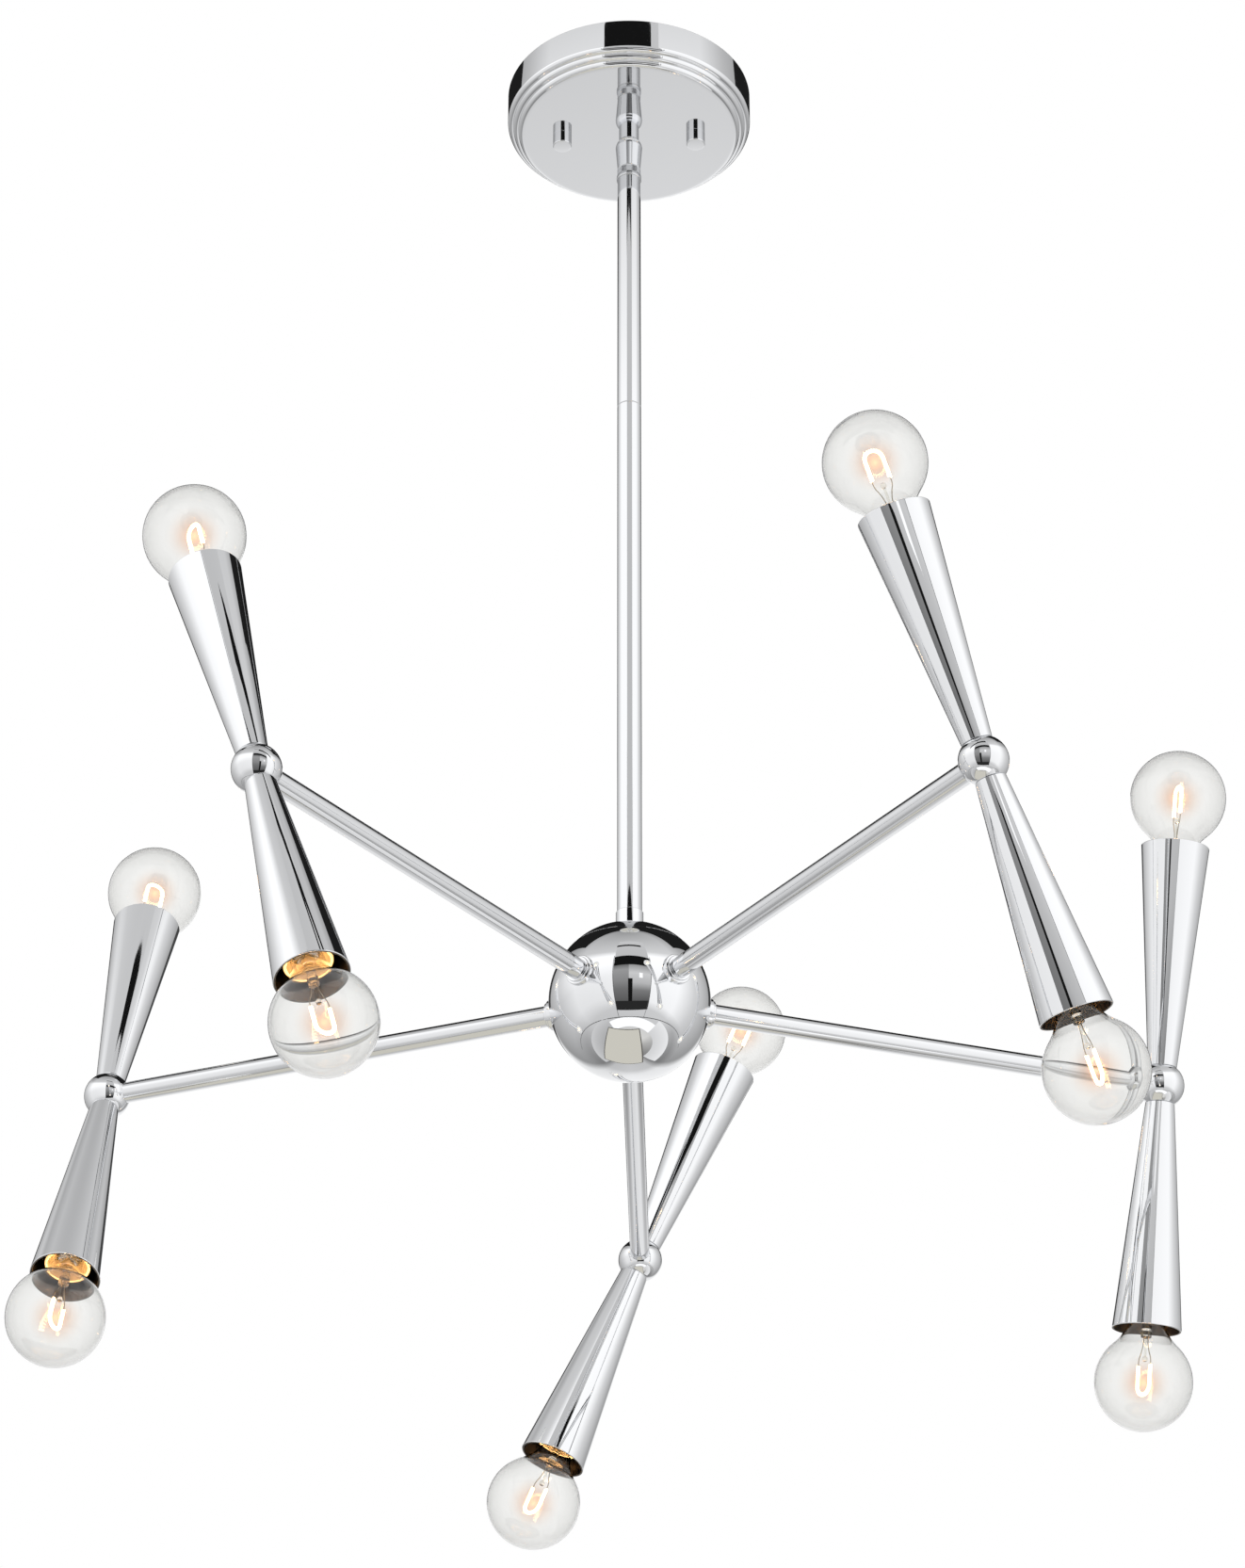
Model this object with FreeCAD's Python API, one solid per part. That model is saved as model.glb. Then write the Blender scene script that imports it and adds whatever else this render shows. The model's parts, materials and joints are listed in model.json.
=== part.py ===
"""Sputnik chandelier: a stepped canopy, a ball swivel, a two-piece stem and a hub ball with five turning arms.

Millimetres, +Z up. The origin is on the stem's axis in the ceiling plane, so everything hangs below z = 0.
An arm is modelled along +X in its own frame, with the hub ball's centre as origin, and is then placed.
"""
import FreeCAD
import Part
import math
import os

V = FreeCAD.Vector

# ---- driving dimensions -------------------------------------------------------------------------------------
# clearances
FIT = 0.05                  # radial clearance of a turning or sliding fit
SEAT_GAP = 0.1              # between faces of two pieces that turn against each other
BITE = 0.4                  # how far a rim is set back from the edge it sits on
PAST = 1.0                  # how far a cutting shape runs past a face
SAME_POINT = 1e-7           # closer points are one point

# ceiling strap and its screws
STRAP_LENGTH = 110.0
STRAP_WIDTH = 20.0
STRAP_THICK = 2.0
STRAP_CENTRE_HOLE_R = 6.5
SLOT_SPACING = 88.9
SLOT_R = 2.4
SLOT_LENGTH = 11.0
STUD_SPACING = 69.85
STUD_R = 2.1
STUD_TIP = 1.0              # a stud's end stops this far above the bottom of its knob's thread
STUD_NUT_ACROSS = 7.9
STUD_NUT_THICK = 3.2
GROUND_SCREW_PLACE = 17.0
GROUND_SCREW_R = 1.6
GROUND_HEAD_R = 3.6
GROUND_HEAD_THICK = 2.2
GROUND_HEAD_TOP_R = 2.2
GROUND_HEAD_CROWN_R = 3.3    # a third of the way up the head
GROUND_SLOT = 0.9            # width and depth of the driver slot

# canopy
CANOPY_R = 63.5
CANOPY_SIDE = 16.6
CANOPY_PLATE_R = 55.3
CANOPY_HEIGHT = 24.4
CANOPY_WALL = 1.5
CANOPY_STEPS = 3
STUD_HOLE_PLAY = 0.3
KNOB_R = 4.9
KNOB_HEIGHT = 7.0
KNOB_EDGE = 0.5
KNOB_THREAD_DEPTH = 5.4

# swivel
NECK_R = 5.25
SHOULDER_R = 7.0
SWIVEL_DROP = 9.6           # canopy plate to ball centre
WAIST_R = 2.3
BALL_R = 4.2
SEAT_THICK = 0.6
STUD_BORE_R = 1.5
STEM_STUD_R = 4.75
STEM_STUD_RISE = 9.0        # threaded length above the plate
STEM_NUT_ACROSS = 14.0
STEM_NUT_THICK = 3.5
TILT_LIMIT = 15.0
TILT_SPARE = 1.5
BARREL_FOOT_R = 6.0
BARREL_LENGTH = 13.7        # ball centre to the barrel's foot
SEAT_ZONES = ((51.0, 74.0), (106.0, 130.0))
KNURL_R = 6.05
KNURL_HEIGHT = 4.9
LIP_R = 6.45
LIP_HEIGHT = 2.4
LIP_EDGE = 0.5

# stem
ROD_R = 6.0
ROD_WALL = 1.4
UPPER_ROD = 152.4
LOWER_ROD = 304.8
ROD_EDGE = 0.35
SPIGOT_R = 5.0
SPIGOT_WALL = 1.6
END_BUSH = 14.0
COUPLING_LENGTH = 26.0
COUPLING_WALL = 1.3

# hub
HUB_R = 38.3
HUB_WALL = 3.0
HUB_SEAM = 24.0             # height of the cap's seam above the centre
HUB_LEDGE = 3.0             # inner ledge that the bridge bears on
HUB_LEDGE_HEIGHT = 4.0
CAP_RIM = 3.0
STEM_PAD = 0.6              # flat pad on the cap, under the rod
HUB_RING_TOP = 9.6          # height of the stem's ring above the ball
HUB_RING_WALL = 0.55
HUB_RING_FLARE = 3.0
BRIDGE_WIDTH = 14.0
BRIDGE_THICK = 3.0
BRIDGE_OVERLAP = 2.4        # how far the bridge reaches under the ledge at each end
NIPPLE_GRIP = 12.0
NIPPLE_TAIL = 5.0
HUB_NUT_ACROSS = 14.0
HUB_NUT_THICK = 3.5

# arms
ARMS = 5
FIRST_ARM_ANGLE = -54.0
ARM_DROOP = 0.7
HEAD_LEANS = (22.6, 15.5, 21.7, 17.7, 17.0)
ARM_REACH = 268.3           # hub centre to small ball centre
ARM_R = 5.0
ARM_WALL = 0.8
ARM_SPIGOT_R = 4.0
ARM_SPIGOT_WALL = 1.2
ARM_SPIGOT_LENGTH = 13.0
COLLAR_BASE_R = 7.3
COLLAR_BASE = 1.4
COLLAR_RING_R = 6.3
COLLAR_RING = 1.2
COLLAR_EDGE = 0.3
COLLAR_SHANK_R = 5.6
COLLAR_SHANK = 4.0          # how far the bushing reaches inside the hub's wall

# heads
NODE_R = 11.25
NODE_CAVITY_R = 6.5
ARM_SOCKET_DEPTH = 3.0
CUP_FOOT_R = 7.1
CUP_MOUTH_R = 16.75
CUP_MOUTH = 120.0           # from the small ball's centre
CUP_WALL = 1.1
CUP_FLOOR = 2.2
CUP_LIP = 0.3
SOCKET_STEM_R = 4.0
SOCKET_STEM_BORE_R = 2.6
SOCKET_STEM_SINK = 2.6
SOCKET_FLANGE_R = 5.7
SOCKET_FLANGE = 2.4
SOCKET_BODY_R = 8.6
SOCKET_BODY = 38.0
SOCKET_RIM_R = 10.9
SOCKET_RIM = 15.0
SOCKET_RECESS = 7.0         # rim's face below the cup's mouth
SOCKET_MOUTH_R = 9.4        # open mouth round the lamp's neck
SOCKET_MOUTH = 11.0
SOCKET_WELL_SPARE = 0.6     # under the lamp's tip
SOCKET_EDGE = 0.8
SCREW_SHELL_WALL = 0.6
SCREW_SHELL_STAND = 3.0     # screw shell above the mouth's floor

# lamps
GLOBE_R = 23.5
GLOBE_STAND = 25.3          # globe centre beyond the cup's mouth
GLASS = 0.8
GLASS_NECK_R = 7.2
NECK_SWEEP_R = 26.0
CAP_SINK = 5.0              # lamp cap's top below the socket's face
CAP_R = 5.9
CAP_LENGTH = 17.0
CAP_TIP_R = 3.2
CAP_TIP = 1.6
MOUNT_R = 2.0
MOUNT_FLARE = 6.0
PRESS_R = 2.6
PRESS_LENGTH = 4.0
PRESS_STAND = 4.5           # press top beyond the cup's mouth
ARBOR_R = 0.6
BEAD_R = 1.4
BEAD_STAND = 14.0           # bead beyond the cup's mouth
LEAD_R = 0.3
LEAD_PLACE = 1.5            # from the axis, where a lead leaves the press
LEAD_RISE = 1.0             # straight part of a lead above the press
LOOP_HALF_WIDTH = 4.4
LOOP_FOOT_STAND = 17.0      # loop's foot beyond the cup's mouth
LOOP_HEIGHT = 15.0
LOOP_BEND_R = 4.0

# wires
WIRE_R = 0.9
WIRE_SPREAD = 1.15          # centre line to the axis, for two wires side by side
WIRE_BEND_R = 3.6
ARM_WIRE_START = 25.0
SOCKET_WIRE_END = 40.0
STEM_WIRE_TOP = 3.0
CONNECTOR_R = 5.0
CONNECTOR_TOP_R = 2.6
CONNECTOR_LENGTH = 15.0
CONNECTOR_SPREAD = 8.0
CONNECTOR_TOP = 3.0         # below the hub's centre
CONNECTOR_GRIP = 4.0
SPLAY_TOP = 6.0             # above the hub's centre

# ---- derived places -----------------------------------------------------------------------------------------
PLATE_Z = -CANOPY_HEIGHT
PLATE_TOP_Z = PLATE_Z + CANOPY_WALL
PIVOT_Z = PLATE_Z - SWIVEL_DROP
BARREL_FOOT_Z = PIVOT_Z - BARREL_LENGTH
KNURL_FOOT_Z = BARREL_FOOT_Z - KNURL_HEIGHT
COLLAR_FOOT_Z = KNURL_FOOT_Z - LIP_HEIGHT
ROD_JOINT_Z = BARREL_FOOT_Z - UPPER_ROD
ROD_FOOT_Z = ROD_JOINT_Z - LOWER_ROD
HUB_Z = ROD_FOOT_Z - STEM_PAD - HUB_R
ROD_BORE_R = ROD_R - ROD_WALL
SOCKET_R = BALL_R + FIT + SEAT_THICK + FIT
HUB_INNER_R = HUB_R - HUB_WALL
NIPPLE_R = SPIGOT_R - FIT
NIPPLE_BORE_R = NIPPLE_R - COUPLING_WALL
SHOULDER_PLACE = HUB_R + COLLAR_BASE + COLLAR_RING + SEAT_GAP
NODE_FLAT = math.sqrt(NODE_R ** 2 - (CUP_FOOT_R - BITE) ** 2)
CUP_SLOPE = (CUP_MOUTH_R - CUP_FOOT_R) / (CUP_MOUTH - NODE_FLAT)
SOCKET_TOP = CUP_MOUTH - SOCKET_RECESS
SOCKET_FOOT = SOCKET_TOP - SOCKET_BODY
MOUTH_FLOOR = SOCKET_TOP - SOCKET_MOUTH
CAP_TOP = SOCKET_TOP - CAP_SINK
LAMP_TIP = CAP_TOP - CAP_LENGTH - CAP_TIP
WELL_FLOOR = LAMP_TIP - SOCKET_WELL_SPARE
SCREW_SHELL_R = CAP_R + FIT + SCREW_SHELL_WALL
GLOBE_PLACE = CUP_MOUTH + GLOBE_STAND
PRESS_TOP = CUP_MOUTH + PRESS_STAND
BEAD_PLACE = CUP_MOUTH + BEAD_STAND
LOOP_FOOT = CUP_MOUTH + LOOP_FOOT_STAND
LOOP_TOP = LOOP_FOOT + LOOP_HEIGHT
SEAT_ANGLE = math.degrees(math.asin(WAIST_R / SOCKET_R))
SHOULDER_ANGLE = math.degrees(math.asin(WAIST_R / SHOULDER_R))
BOTH_TILTS = math.degrees(math.acos(math.cos(math.radians(TILT_LIMIT)) ** 2))


# ---- helpers ------------------------------------------------------------------------------------------------
def turned(profile):
    """A solid of revolution about Z. The profile holds (radius, z) corners, and an arc as (through, end)."""
    edges = []
    here = V(profile[0][0], 0, profile[0][1])
    for step in list(profile[1:]) + [profile[0]]:
        if isinstance(step[0], tuple):
            through = V(step[0][0], 0, step[0][1])
            there = V(step[1][0], 0, step[1][1])
            edges.append(Part.Arc(here, through, there).toShape())
        else:
            there = V(step[0], 0, step[1])
            if there.distanceToPoint(here) > SAME_POINT:
                edges.append(Part.LineSegment(here, there).toShape())
        here = there
    face = Part.Face(Part.Wire(edges))
    return face.revolve(V(0, 0, 0), V(0, 0, 1), 360)


def on_sphere(radius, angle, centre_z=0.0):
    """The profile point of a sphere at an angle in degrees from its top."""
    turn = math.radians(angle)
    return (radius * math.sin(turn), centre_z + radius * math.cos(turn))


def sphere_arc(radius, start, end, centre_z=0.0):
    """The arc of a sphere's profile between two angles, as a profile step."""
    return (on_sphere(radius, (start + end) / 2, centre_z), on_sphere(radius, end, centre_z))


def height_on(sphere_r, radius):
    """Height of a sphere's surface above its centre at a radius from the axis."""
    return math.sqrt(sphere_r ** 2 - radius ** 2)


def rod(radius, low, high, x=0.0, y=0.0):
    """An upright cylinder between two heights."""
    return Part.makeCylinder(radius, high - low, V(x, y, low))


def bar(length, width, low, high):
    """An upright block, centred on the axis."""
    return Part.makeBox(length, width, high - low, V(-length / 2, -width / 2, low))


def hex_nut(across, low, high, bore_r, x=0.0, y=0.0):
    """A hexagon nut with its corners chamfered by a cone."""
    corner = across / math.sqrt(3)
    points = [V(x + corner * math.cos(math.radians(60 * k)), y + corner * math.sin(math.radians(60 * k)), low)
              for k in range(7)]
    prism = Part.Face(Part.makePolygon(points)).extrude(V(0, 0, high - low))
    edge = corner - across / 2
    rounded = turned([(0, low), (across / 2, low), (corner, low + edge), (corner, high - edge),
                      (across / 2, high), (0, high)])
    rounded.translate(V(x, y, 0))
    return prism.common(rounded).cut(rod(bore_r, low - PAST, high + PAST, x, y))


def wire_run(points, bend_r, wire_r):
    """A round wire along straight runs joined by tangent arcs of one radius."""
    edges = []
    here = points[0]
    for before, corner, after in zip(points, points[1:], points[2:]):
        arriving = (corner - before).normalize()
        leaving = (after - corner).normalize()
        half = arriving.getAngle(leaving) / 2
        reach = bend_r * math.tan(half)
        start = corner - arriving * reach
        end = corner + leaving * reach
        inward = (leaving - arriving).normalize()
        middle = corner + inward * (bend_r / math.cos(half) - bend_r)
        edges.append(Part.LineSegment(here, start).toShape())
        edges.append(Part.Arc(start, middle, end).toShape())
        here = end
    edges.append(Part.LineSegment(here, points[-1]).toShape())
    path = Part.Wire(edges)
    circle = Part.Circle(points[0], (points[1] - points[0]).normalize(), wire_r)
    return path.makePipeShell([Part.Wire([circle.toShape()])], True, False)


def save(name, solids):
    """Writes one named piece, or a group of like pieces, to its own file."""
    shape = solids[0] if len(solids) == 1 else Part.makeCompound(solids)
    shape.exportStep("parts/" + name + ".step")
    print(name, len(shape.Solids), "solid(s),", round(shape.Volume / 1000, 2), "cm3")


# ---- ceiling plate and canopy -------------------------------------------------------------------------------
def crossbar():
    """The strap that screws to the ceiling box through its two slots."""
    strap = bar(STRAP_LENGTH, STRAP_WIDTH, -STRAP_THICK, 0)
    corners = [edge for edge in strap.Edges if abs(edge.tangentAt(edge.FirstParameter).z) > 0.99]
    strap = strap.makeFillet(STRAP_WIDTH / 4, corners)
    strap = strap.cut(rod(STRAP_CENTRE_HOLE_R, -STRAP_THICK - PAST, PAST))
    strap = strap.cut(rod(GROUND_SCREW_R, -STRAP_THICK - PAST, PAST, GROUND_SCREW_PLACE))
    for side in (-1, 1):
        strap = strap.cut(rod(STUD_R, -STRAP_THICK - PAST, PAST, side * STUD_SPACING / 2))
        middle = side * SLOT_SPACING / 2
        reach = SLOT_LENGTH / 2 - SLOT_R
        slot = bar(2 * reach, 2 * SLOT_R, -STRAP_THICK - PAST, PAST)
        slot.translate(V(middle, 0, 0))
        for end in (-reach, reach):
            slot = slot.fuse(rod(SLOT_R, -STRAP_THICK - PAST, PAST, middle + end))
        strap = strap.cut(slot)
    return strap


def canopy_stud(side):
    """A headless screw from the strap down into its cap knob."""
    foot = PLATE_Z - KNOB_THREAD_DEPTH + STUD_TIP
    return rod(STUD_R, foot, 0, side * STUD_SPACING / 2)


def stud_nut(side):
    """The lock nut under the strap."""
    top = -STRAP_THICK
    return hex_nut(STUD_NUT_ACROSS, top - STUD_NUT_THICK, top, STUD_R, side * STUD_SPACING / 2)


def ground_screw():
    """The bonding screw, head down."""
    foot = -STRAP_THICK - GROUND_HEAD_THICK
    head = turned([(0, foot), (GROUND_HEAD_TOP_R, foot), ((GROUND_HEAD_CROWN_R, foot + GROUND_HEAD_THICK / 3),
                   (GROUND_HEAD_R, -STRAP_THICK)), (GROUND_SCREW_R, -STRAP_THICK), (GROUND_SCREW_R, 0), (0, 0)])
    head.translate(V(GROUND_SCREW_PLACE, 0, 0))
    slot = bar(2 * GROUND_HEAD_R + PAST, GROUND_SLOT, foot - PAST, foot + GROUND_SLOT)
    slot.translate(V(GROUND_SCREW_PLACE, 0, 0))
    return head.cut(slot)


def canopy_edge(inset):
    """The outline of the canopy's side and its rounded steps, moved inwards by a wall."""
    side_foot = -CANOPY_SIDE
    fall = (CANOPY_HEIGHT - CANOPY_SIDE) / CANOPY_STEPS
    run = (CANOPY_R - CANOPY_PLATE_R) / CANOPY_STEPS
    steps = [(CANOPY_R - inset, 0), (CANOPY_R - inset, side_foot + inset)]
    for step in range(CANOPY_STEPS):
        r = CANOPY_R - inset - step * run
        z = side_foot + inset - step * fall
        middle = (r - run * (1 - math.sqrt(0.5)), z - fall * math.sqrt(0.5))
        steps.append((middle, (r - run, z - fall)))
    return steps


def canopy():
    """A spun dish, open at the ceiling, with its steps down to a flat mirror plate."""
    outside = canopy_edge(0)
    inside = canopy_edge(CANOPY_WALL)
    inside[-1] = (inside[-1][0], (inside[-1][1][0], PLATE_TOP_Z))
    solid = turned([(0, 0)] + outside + [(0, PLATE_Z)])
    hollow = turned([(0, PAST), (CANOPY_R - CANOPY_WALL, PAST)] + inside[1:] + [(0, PLATE_TOP_Z)])
    dish = solid.cut(hollow).cut(rod(STEM_STUD_R + FIT, PLATE_Z - PAST, 0))
    for side in (-1, 1):
        dish = dish.cut(rod(STUD_R + STUD_HOLE_PLAY, PLATE_Z - PAST, 0, side * STUD_SPACING / 2))
    return dish


def canopy_knob(side):
    """A plain turned cap nut, blind, with a small edge at its foot."""
    foot = PLATE_Z - KNOB_HEIGHT
    depth = PLATE_Z - KNOB_THREAD_DEPTH
    knob = turned([(0, foot), (KNOB_R - KNOB_EDGE, foot), (KNOB_R, foot + KNOB_EDGE), (KNOB_R, PLATE_Z),
                   (STUD_R, PLATE_Z), (STUD_R, depth), (0, depth)])
    knob.translate(V(side * STUD_SPACING / 2, 0, 0))
    return knob


# ---- swivel -------------------------------------------------------------------------------------------------
def swivel_stud():
    """The threaded stud, its neck with a cupped foot, the waist and the ball, drilled through for the wires."""
    cup = SHOULDER_R + SEAT_GAP
    edge_angle = math.degrees(math.asin(NECK_R / cup))
    waist_angle = math.degrees(math.asin(WAIST_R / cup))
    ball_start = math.degrees(math.asin(WAIST_R / BALL_R))
    bore_end = 180 - math.degrees(math.asin(STUD_BORE_R / BALL_R))
    top = PLATE_TOP_Z + STEM_STUD_RISE
    return turned([(STUD_BORE_R, top), (STEM_STUD_R - FIT, top), (STEM_STUD_R, top - FIT), (STEM_STUD_R, PLATE_Z),
                   (NECK_R, PLATE_Z), on_sphere(cup, edge_angle, PIVOT_Z),
                   sphere_arc(cup, edge_angle, waist_angle, PIVOT_Z), on_sphere(BALL_R, ball_start, PIVOT_Z),
                   sphere_arc(BALL_R, ball_start, bore_end, PIVOT_Z)])


def swivel_nut():
    """The nut that draws the neck up against the canopy."""
    return hex_nut(STEM_NUT_ACROSS, PLATE_TOP_Z, PLATE_TOP_Z + STEM_NUT_THICK, STEM_STUD_R)


def swivel_seat(zone):
    """One spherical seat between the ball and the barrel."""
    start, end = zone
    inner = BALL_R + FIT
    outer = inner + SEAT_THICK
    return turned([on_sphere(inner, start, PIVOT_Z), on_sphere(outer, start, PIVOT_Z),
                   sphere_arc(outer, start, end, PIVOT_Z), on_sphere(inner, end, PIVOT_Z),
                   sphere_arc(inner, end, start, PIVOT_Z)])


def swivel_barrel():
    """The barrel: a round shoulder over the ball, then a light taper to its foot."""
    inner_mouth = SEAT_ANGLE + BOTH_TILTS + TILT_SPARE
    outer_mouth = SHOULDER_ANGLE + BOTH_TILTS + TILT_SPARE
    return turned([on_sphere(SOCKET_R, inner_mouth, PIVOT_Z), on_sphere(SHOULDER_R, outer_mouth, PIVOT_Z),
                   sphere_arc(SHOULDER_R, outer_mouth, 90, PIVOT_Z), (BARREL_FOOT_R, BARREL_FOOT_Z),
                   (SOCKET_R, BARREL_FOOT_Z), (SOCKET_R, PIVOT_Z), sphere_arc(SOCKET_R, 90, inner_mouth, PIVOT_Z)])


def swivel_collar():
    """The knurled collar: its spigot closes the barrel under the lower seat, and its bore takes the rod."""
    spigot = SOCKET_R - FIT
    dish_angle = SEAT_ZONES[1][1] + TILT_LIMIT / 3
    dish_edge = 180 - math.degrees(math.asin(spigot / SOCKET_R))
    throat = on_sphere(SOCKET_R, dish_angle, PIVOT_Z)
    return turned([throat, sphere_arc(SOCKET_R, dish_angle, dish_edge, PIVOT_Z), (spigot, BARREL_FOOT_Z),
                   (KNURL_R, BARREL_FOOT_Z), (KNURL_R, KNURL_FOOT_Z), (LIP_R, KNURL_FOOT_Z),
                   (LIP_R, COLLAR_FOOT_Z + LIP_EDGE), (LIP_R - LIP_EDGE, COLLAR_FOOT_Z),
                   (SPIGOT_R, COLLAR_FOOT_Z), (SPIGOT_R, BARREL_FOOT_Z), (throat[0], BARREL_FOOT_Z)])


# ---- stem ---------------------------------------------------------------------------------------------------
def stem_upper():
    """The upper rod: a tube with a turned spigot that screws into the swivel's collar."""
    spigot_bore = SPIGOT_R - SPIGOT_WALL
    bush_foot = COLLAR_FOOT_Z - END_BUSH
    return turned([(spigot_bore, BARREL_FOOT_Z), (SPIGOT_R - FIT, BARREL_FOOT_Z), (SPIGOT_R - FIT, COLLAR_FOOT_Z),
                   (ROD_R, COLLAR_FOOT_Z), (ROD_R, ROD_JOINT_Z + ROD_EDGE), (ROD_R - ROD_EDGE, ROD_JOINT_Z),
                   (ROD_BORE_R, ROD_JOINT_Z), (ROD_BORE_R, bush_foot), (spigot_bore, bush_foot)])


def stem_lower():
    """The lower rod: a plain tube whose foot takes the hub's nipple."""
    bush_top = ROD_FOOT_Z + NIPPLE_GRIP + END_BUSH
    foot_bore = NIPPLE_R + FIT
    return turned([(ROD_BORE_R, ROD_JOINT_Z), (ROD_R - ROD_EDGE, ROD_JOINT_Z), (ROD_R, ROD_JOINT_Z - ROD_EDGE),
                   (ROD_R, ROD_FOOT_Z), (foot_bore, ROD_FOOT_Z), (foot_bore, bush_top), (ROD_BORE_R, bush_top)])


def stem_coupling():
    """The nipple inside the rods' joint."""
    outer = ROD_BORE_R - FIT
    inner = outer - COUPLING_WALL
    low = ROD_JOINT_Z - COUPLING_LENGTH / 2
    high = ROD_JOINT_Z + COUPLING_LENGTH / 2
    return turned([(inner, low), (outer, low), (outer, high), (inner, high)])


# ---- hub ----------------------------------------------------------------------------------------------------
def hub_zone(radius_in, radius_out, low):
    """The hub's wall above or below its seam, about the hub's centre."""
    ball = Part.makeSphere(radius_out).cut(Part.makeSphere(radius_in))
    band = rod(radius_out + PAST, HUB_SEAM, radius_out + PAST)
    return ball.cut(band) if low else ball.common(band)


def arm_angles():
    """Each arm's direction round the hub, in degrees from +X."""
    return [FIRST_ARM_ANGLE + 360.0 / ARMS * k for k in range(ARMS)]


def placed(shape, arm, lean=0.0):
    """Moves a shape from an arm's own frame to its place on the hub."""
    result = shape.copy()
    result.rotate(V(0, 0, 0), V(1, 0, 0), lean)
    result.rotate(V(0, 0, 0), V(0, 1, 0), ARM_DROOP)
    result.rotate(V(0, 0, 0), V(0, 0, 1), arm_angles()[arm])
    result.translate(V(0, 0, HUB_Z))
    return result


def along_x(shape):
    """Turns a shape made about Z so that it lies along +X."""
    result = shape.copy()
    result.rotate(V(0, 0, 0), V(0, 1, 0), 90)
    return result


def hub_shell():
    """The hub ball below its seam, with an inner ledge for the bridge and a hole for each arm's bushing."""
    ledge_r = height_on(HUB_INNER_R, HUB_SEAM) - HUB_LEDGE
    ledge = rod(HUB_INNER_R + HUB_WALL / 2, HUB_SEAM - CAP_RIM - HUB_LEDGE_HEIGHT, HUB_SEAM - CAP_RIM)
    ledge = ledge.common(Part.makeSphere(HUB_INNER_R + HUB_WALL / 2)).cut(rod(ledge_r, 0, HUB_SEAM))
    shell = hub_zone(HUB_INNER_R, HUB_R, True).fuse(ledge).removeSplitter()
    shell.translate(V(0, 0, HUB_Z))
    for arm in range(ARMS):
        hole = along_x(rod(COLLAR_SHANK_R, 0, HUB_R + PAST))
        shell = shell.cut(placed(hole, arm))
    return shell


def hub_cap():
    """The hub's upper part, which lifts off for wiring: a dome with a locating rim and a pad for the rod."""
    rim_r = height_on(HUB_INNER_R, HUB_SEAM) - FIT
    rim = turned([(rim_r - HUB_WALL, HUB_SEAM - CAP_RIM), (rim_r, HUB_SEAM - CAP_RIM),
                  (rim_r, HUB_SEAM + HUB_WALL / 2), (rim_r - HUB_WALL, HUB_SEAM + HUB_WALL / 2)])
    rim = rim.common(Part.makeSphere(HUB_INNER_R + HUB_WALL / 2))
    pad = rod(ROD_R, height_on(HUB_INNER_R, 0) + HUB_WALL / 2, HUB_R + STEM_PAD)
    dome = hub_zone(HUB_INNER_R, HUB_R, False).fuse([rim, pad]).removeSplitter()
    dome = dome.cut(rod(NIPPLE_R + FIT, 0, HUB_R + STEM_PAD + PAST))
    dome.translate(V(0, 0, HUB_Z))
    return dome


def hub_ring():
    """The turned ring round the rod's foot, flared where it sits on the ball."""
    inner = ROD_R + FIT
    outer = inner + HUB_RING_WALL
    seat = HUB_R + FIT
    foot_r = outer + HUB_RING_FLARE
    top = HUB_R + HUB_RING_TOP
    foot = height_on(seat, foot_r)
    inner_foot = height_on(seat, inner)
    flare_z = foot + HUB_RING_FLARE
    middle = (outer + HUB_RING_FLARE * (1 - math.sqrt(0.5)), flare_z - HUB_RING_FLARE * math.sqrt(0.5))
    under_r = (inner + foot_r) / 2
    ring = turned([(inner, inner_foot), (inner, top), (outer - FIT, top), (outer, top - FIT), (outer, flare_z),
                   (middle, (foot_r, foot)), ((under_r, height_on(seat, under_r)), (inner, inner_foot))])
    ring.translate(V(0, 0, HUB_Z))
    return ring


def hub_bridge():
    """The bar under the ledge that carries the hub on the nipple."""
    ledge_r = height_on(HUB_INNER_R, HUB_SEAM) - HUB_LEDGE
    top = HUB_SEAM - CAP_RIM - HUB_LEDGE_HEIGHT
    length = 2 * (ledge_r + BRIDGE_OVERLAP)
    bridge = bar(length, BRIDGE_WIDTH, top - BRIDGE_THICK, top).common(rod(length / 2, 0, HUB_SEAM))
    bridge = bridge.cut(rod(NIPPLE_R, 0, HUB_SEAM))
    bridge.translate(V(0, 0, HUB_Z))
    return bridge


def hub_nipple():
    """The threaded tube from the rod's foot through the cap and the bridge to its nut."""
    bridge_foot = HUB_SEAM - CAP_RIM - HUB_LEDGE_HEIGHT - BRIDGE_THICK
    high = ROD_FOOT_Z + NIPPLE_GRIP
    low = HUB_Z + bridge_foot - NIPPLE_TAIL
    return turned([(NIPPLE_BORE_R, low), (NIPPLE_R, low), (NIPPLE_R, high), (NIPPLE_BORE_R, high)])


def hub_nut():
    """The nut under the bridge."""
    top = HUB_Z + HUB_SEAM - CAP_RIM - HUB_LEDGE_HEIGHT - BRIDGE_THICK
    return hex_nut(HUB_NUT_ACROSS, top - HUB_NUT_THICK, top, NIPPLE_R)


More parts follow.
